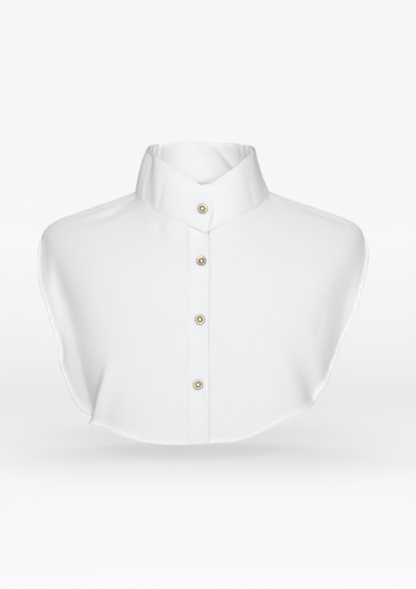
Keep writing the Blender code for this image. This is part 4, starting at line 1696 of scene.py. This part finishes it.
@dataclass(frozen=True)
class Studio:
    """A pale floor with a painted glow and a painted soft shadow under the garment, a white surround and
    soft lights.
    """

    lamps: tuple[Lamp, ...] = (
        Lamp("front", 0, 16.5, 2.9, 1.6, 50.0),
        Lamp("right", 45, 38, 2.5, 1.3, 8.0),
        Lamp("left", -38, 45, 2.5, 1.3, 6.0),
        Lamp("behind", 180, 60, 2.5, 1.6, 18.0),
    )
    neck_lamp: NeckLamp = NeckLamp((0.01, -0.26, 0.42), (-0.02, 0.04, 0.035), 0.06, 22.0, 0.012)
    # Painted light: the floor's emitted glow along Y, dimmest about half a metre behind the garment
    painted_glows: tuple[PaintedGlow, ...] = rows(
        PaintedGlow,
        *((-0.87, 0.604), (-0.69, 0.604), (-0.49, 0.622), (-0.32, 0.622), (-0.20, 0.627), (-0.06, 0.639)),
        *((0.10, 0.633), (0.27, 0.606), (0.48, 0.590), (0.74, 0.595), (1.09, 0.629), (1.47, 0.667)),
        *((1.78, 0.695), (2.07, 0.726), (2.40, 0.750), (2.78, 0.781), (3.42, 0.807), (5.14, 0.844)),
        *((8.92, 0.861), (12.33, 0.857)),
    )
    target: tuple[float, float, float] = (0.0, -0.04, -0.1)
    floor_z: float = -0.303
    floor_radius: float = 40.0
    floor_segments: int = 96
    floor_paint: Color = (0.4, 0.4, 0.402, 1.0)
    floor_roughness: float = 0.9
    floor_specular: float = 0.1
    surround: Color = (0.925, 0.925, 0.925, 1.0)
    ambient: float = 0.18
    shadow_half_width: float = 0.29
    shadow_half_depth: float = 0.28
    shadow_depth: float = 0.135
    floor_bounce: float = 0.42

    def build(self) -> None:
        """Makes the lights, the surround and the floor."""
        bpy.context.scene.view_settings.view_transform = "Standard"
        for lamp in self.lamps:
            turn, lift = math.radians(lamp.azimuth), math.radians(lamp.elevation)
            level = math.cos(lift)
            way = Vector((math.sin(turn) * level, -math.cos(turn) * level, math.sin(lift)))
            self.area_light(lamp.name, Vector(self.target) + way * lamp.distance, way, lamp)
        lamp, place = self.neck_lamp, Vector(self.neck_lamp.place)
        light = self.area_light("neck", place, place - Vector(lamp.aim), lamp)
        light.data.spread = math.radians(lamp.spread)
        self.world()
        self.floor()

    @staticmethod
    def area_light(name: str, place: Vector, away: Vector, lamp: Lamp | NeckLamp) -> Object:
        """Makes a square lamp.

        Args:
            name: Its name.
            place: Where it stands.
            away: The direction that it shines against.
            lamp: Its size and its watts.

        Returns:
            The lamp.
        """
        light = placed(name, bpy.data.lights.new(name, "AREA"))
        light.visible_camera = False
        light.location = place
        light.rotation_euler = away.to_track_quat("Z", "Y").to_euler()
        light.data.size = lamp.size
        light.data.energy = lamp.watts
        return light

    def world(self) -> None:
        """Gives the scene a white surround that looks brighter than it shines."""
        world = bpy.data.worlds.new("surround")
        bpy.context.scene.world = world
        world.use_nodes = True
        graph = Graph(world.node_tree)
        strength = self.seen_share(graph, self.ambient)
        graph.feed(world.node_tree.nodes["Background"], Color=self.surround, Strength=strength)

    @staticmethod
    def seen_share(graph: Graph, share: float) -> Socket:
        """1 where the camera looks, and a share of that for all other light."""
        seen = graph.add("ShaderNodeLightPath").outputs["Is Camera Ray"]
        return graph.math("MULTIPLY_ADD", seen, 1 - share, share)

    def floor_finish(self) -> Material:
        """Makes the floor's material: a painted glow that changes with distance, and a painted soft shadow
        under the garment.

        Returns:
            The material.
        """
        material, graph, shader = new_material("floor_paint")
        place = graph.add("ShaderNodeTexCoord").outputs["Object"]
        axes = graph.put("ShaderNodeSeparateXYZ", Vector=place).outputs
        # Painted shadow: a soft flat-topped ellipse under the garment that dims the glow by up to
        # shadow_depth
        halves = (("X", self.shadow_half_width), ("Y", self.shadow_half_depth))
        parts = (graph.math("DIVIDE", axes[axis], half) for axis, half in halves)
        squares = (graph.math("POWER", part, 2.0) for part in parts)
        away = graph.math("POWER", graph.math("ADD", *squares), 2.0)
        shade = graph.math("EXPONENT", graph.math("MULTIPLY", away, -1.0))
        # Painted light: the glow ramp along Y
        near, far = self.painted_glows[0].y, self.painted_glows[-1].y
        behind = graph.math("DIVIDE", graph.math("SUBTRACT", axes["Y"], near), far - near)
        ramp = graph.put("ShaderNodeValToRGB", Fac=behind)
        stops = ramp.color_ramp.elements
        stops[0].color = (*[self.painted_glows[0].strength] * 3, 1.0)
        stops[1].color = (*[self.painted_glows[-1].strength] * 3, 1.0)
        for glow in self.painted_glows[1:-1]:
            stops.new((glow.y - near) / (far - near)).color = (*[glow.strength] * 3, 1.0)
        shaded = graph.math("MULTIPLY_ADD", shade, -self.shadow_depth, 1.0)
        left = graph.math("MULTIPLY", shaded, self.seen_share(graph, self.floor_bounce))
        graph.feed(
            shader,
            Base_Color=self.floor_paint,
            Roughness=self.floor_roughness,
            Specular_IOR_Level=self.floor_specular,
            Emission_Color=graph.math("MULTIPLY", ramp.outputs["Color"], left),
            Emission_Strength=1.0,
        )
        return material

    def floor(self) -> None:
        """Lays the floor."""
        maker = bmesh.new()
        sides = self.floor_segments
        bmesh.ops.create_circle(maker, cap_ends=True, radius=self.floor_radius, segments=sides)
        bmesh.ops.translate(maker, vec=(0.0, 0.0, self.floor_z), verts=maker.verts)
        mesh = bpy.data.meshes.new("floor")
        maker.to_mesh(mesh)
        maker.free()
        mesh.materials.append(self.floor_finish())
        placed("floor", mesh)


def main() -> None:
    """Builds the garment piece by piece, then the studio and the camera."""
    logging.basicConfig(level=logging.INFO, format="%(message)s")
    palette = Palette.build()
    stitching = StitchTree()
    tree = stitching.tree()
    collar, placket = Collar(), Placket()
    threads = [collar.build(palette), Bib().build(palette), placket.build(palette)]
    Buttons().build(collar, placket, palette)
    for thread in threads:
        stitching.sew(thread, tree, palette.thread)
    Studio().build()
    Camera().build()


if __name__ == "__main__":
    main()
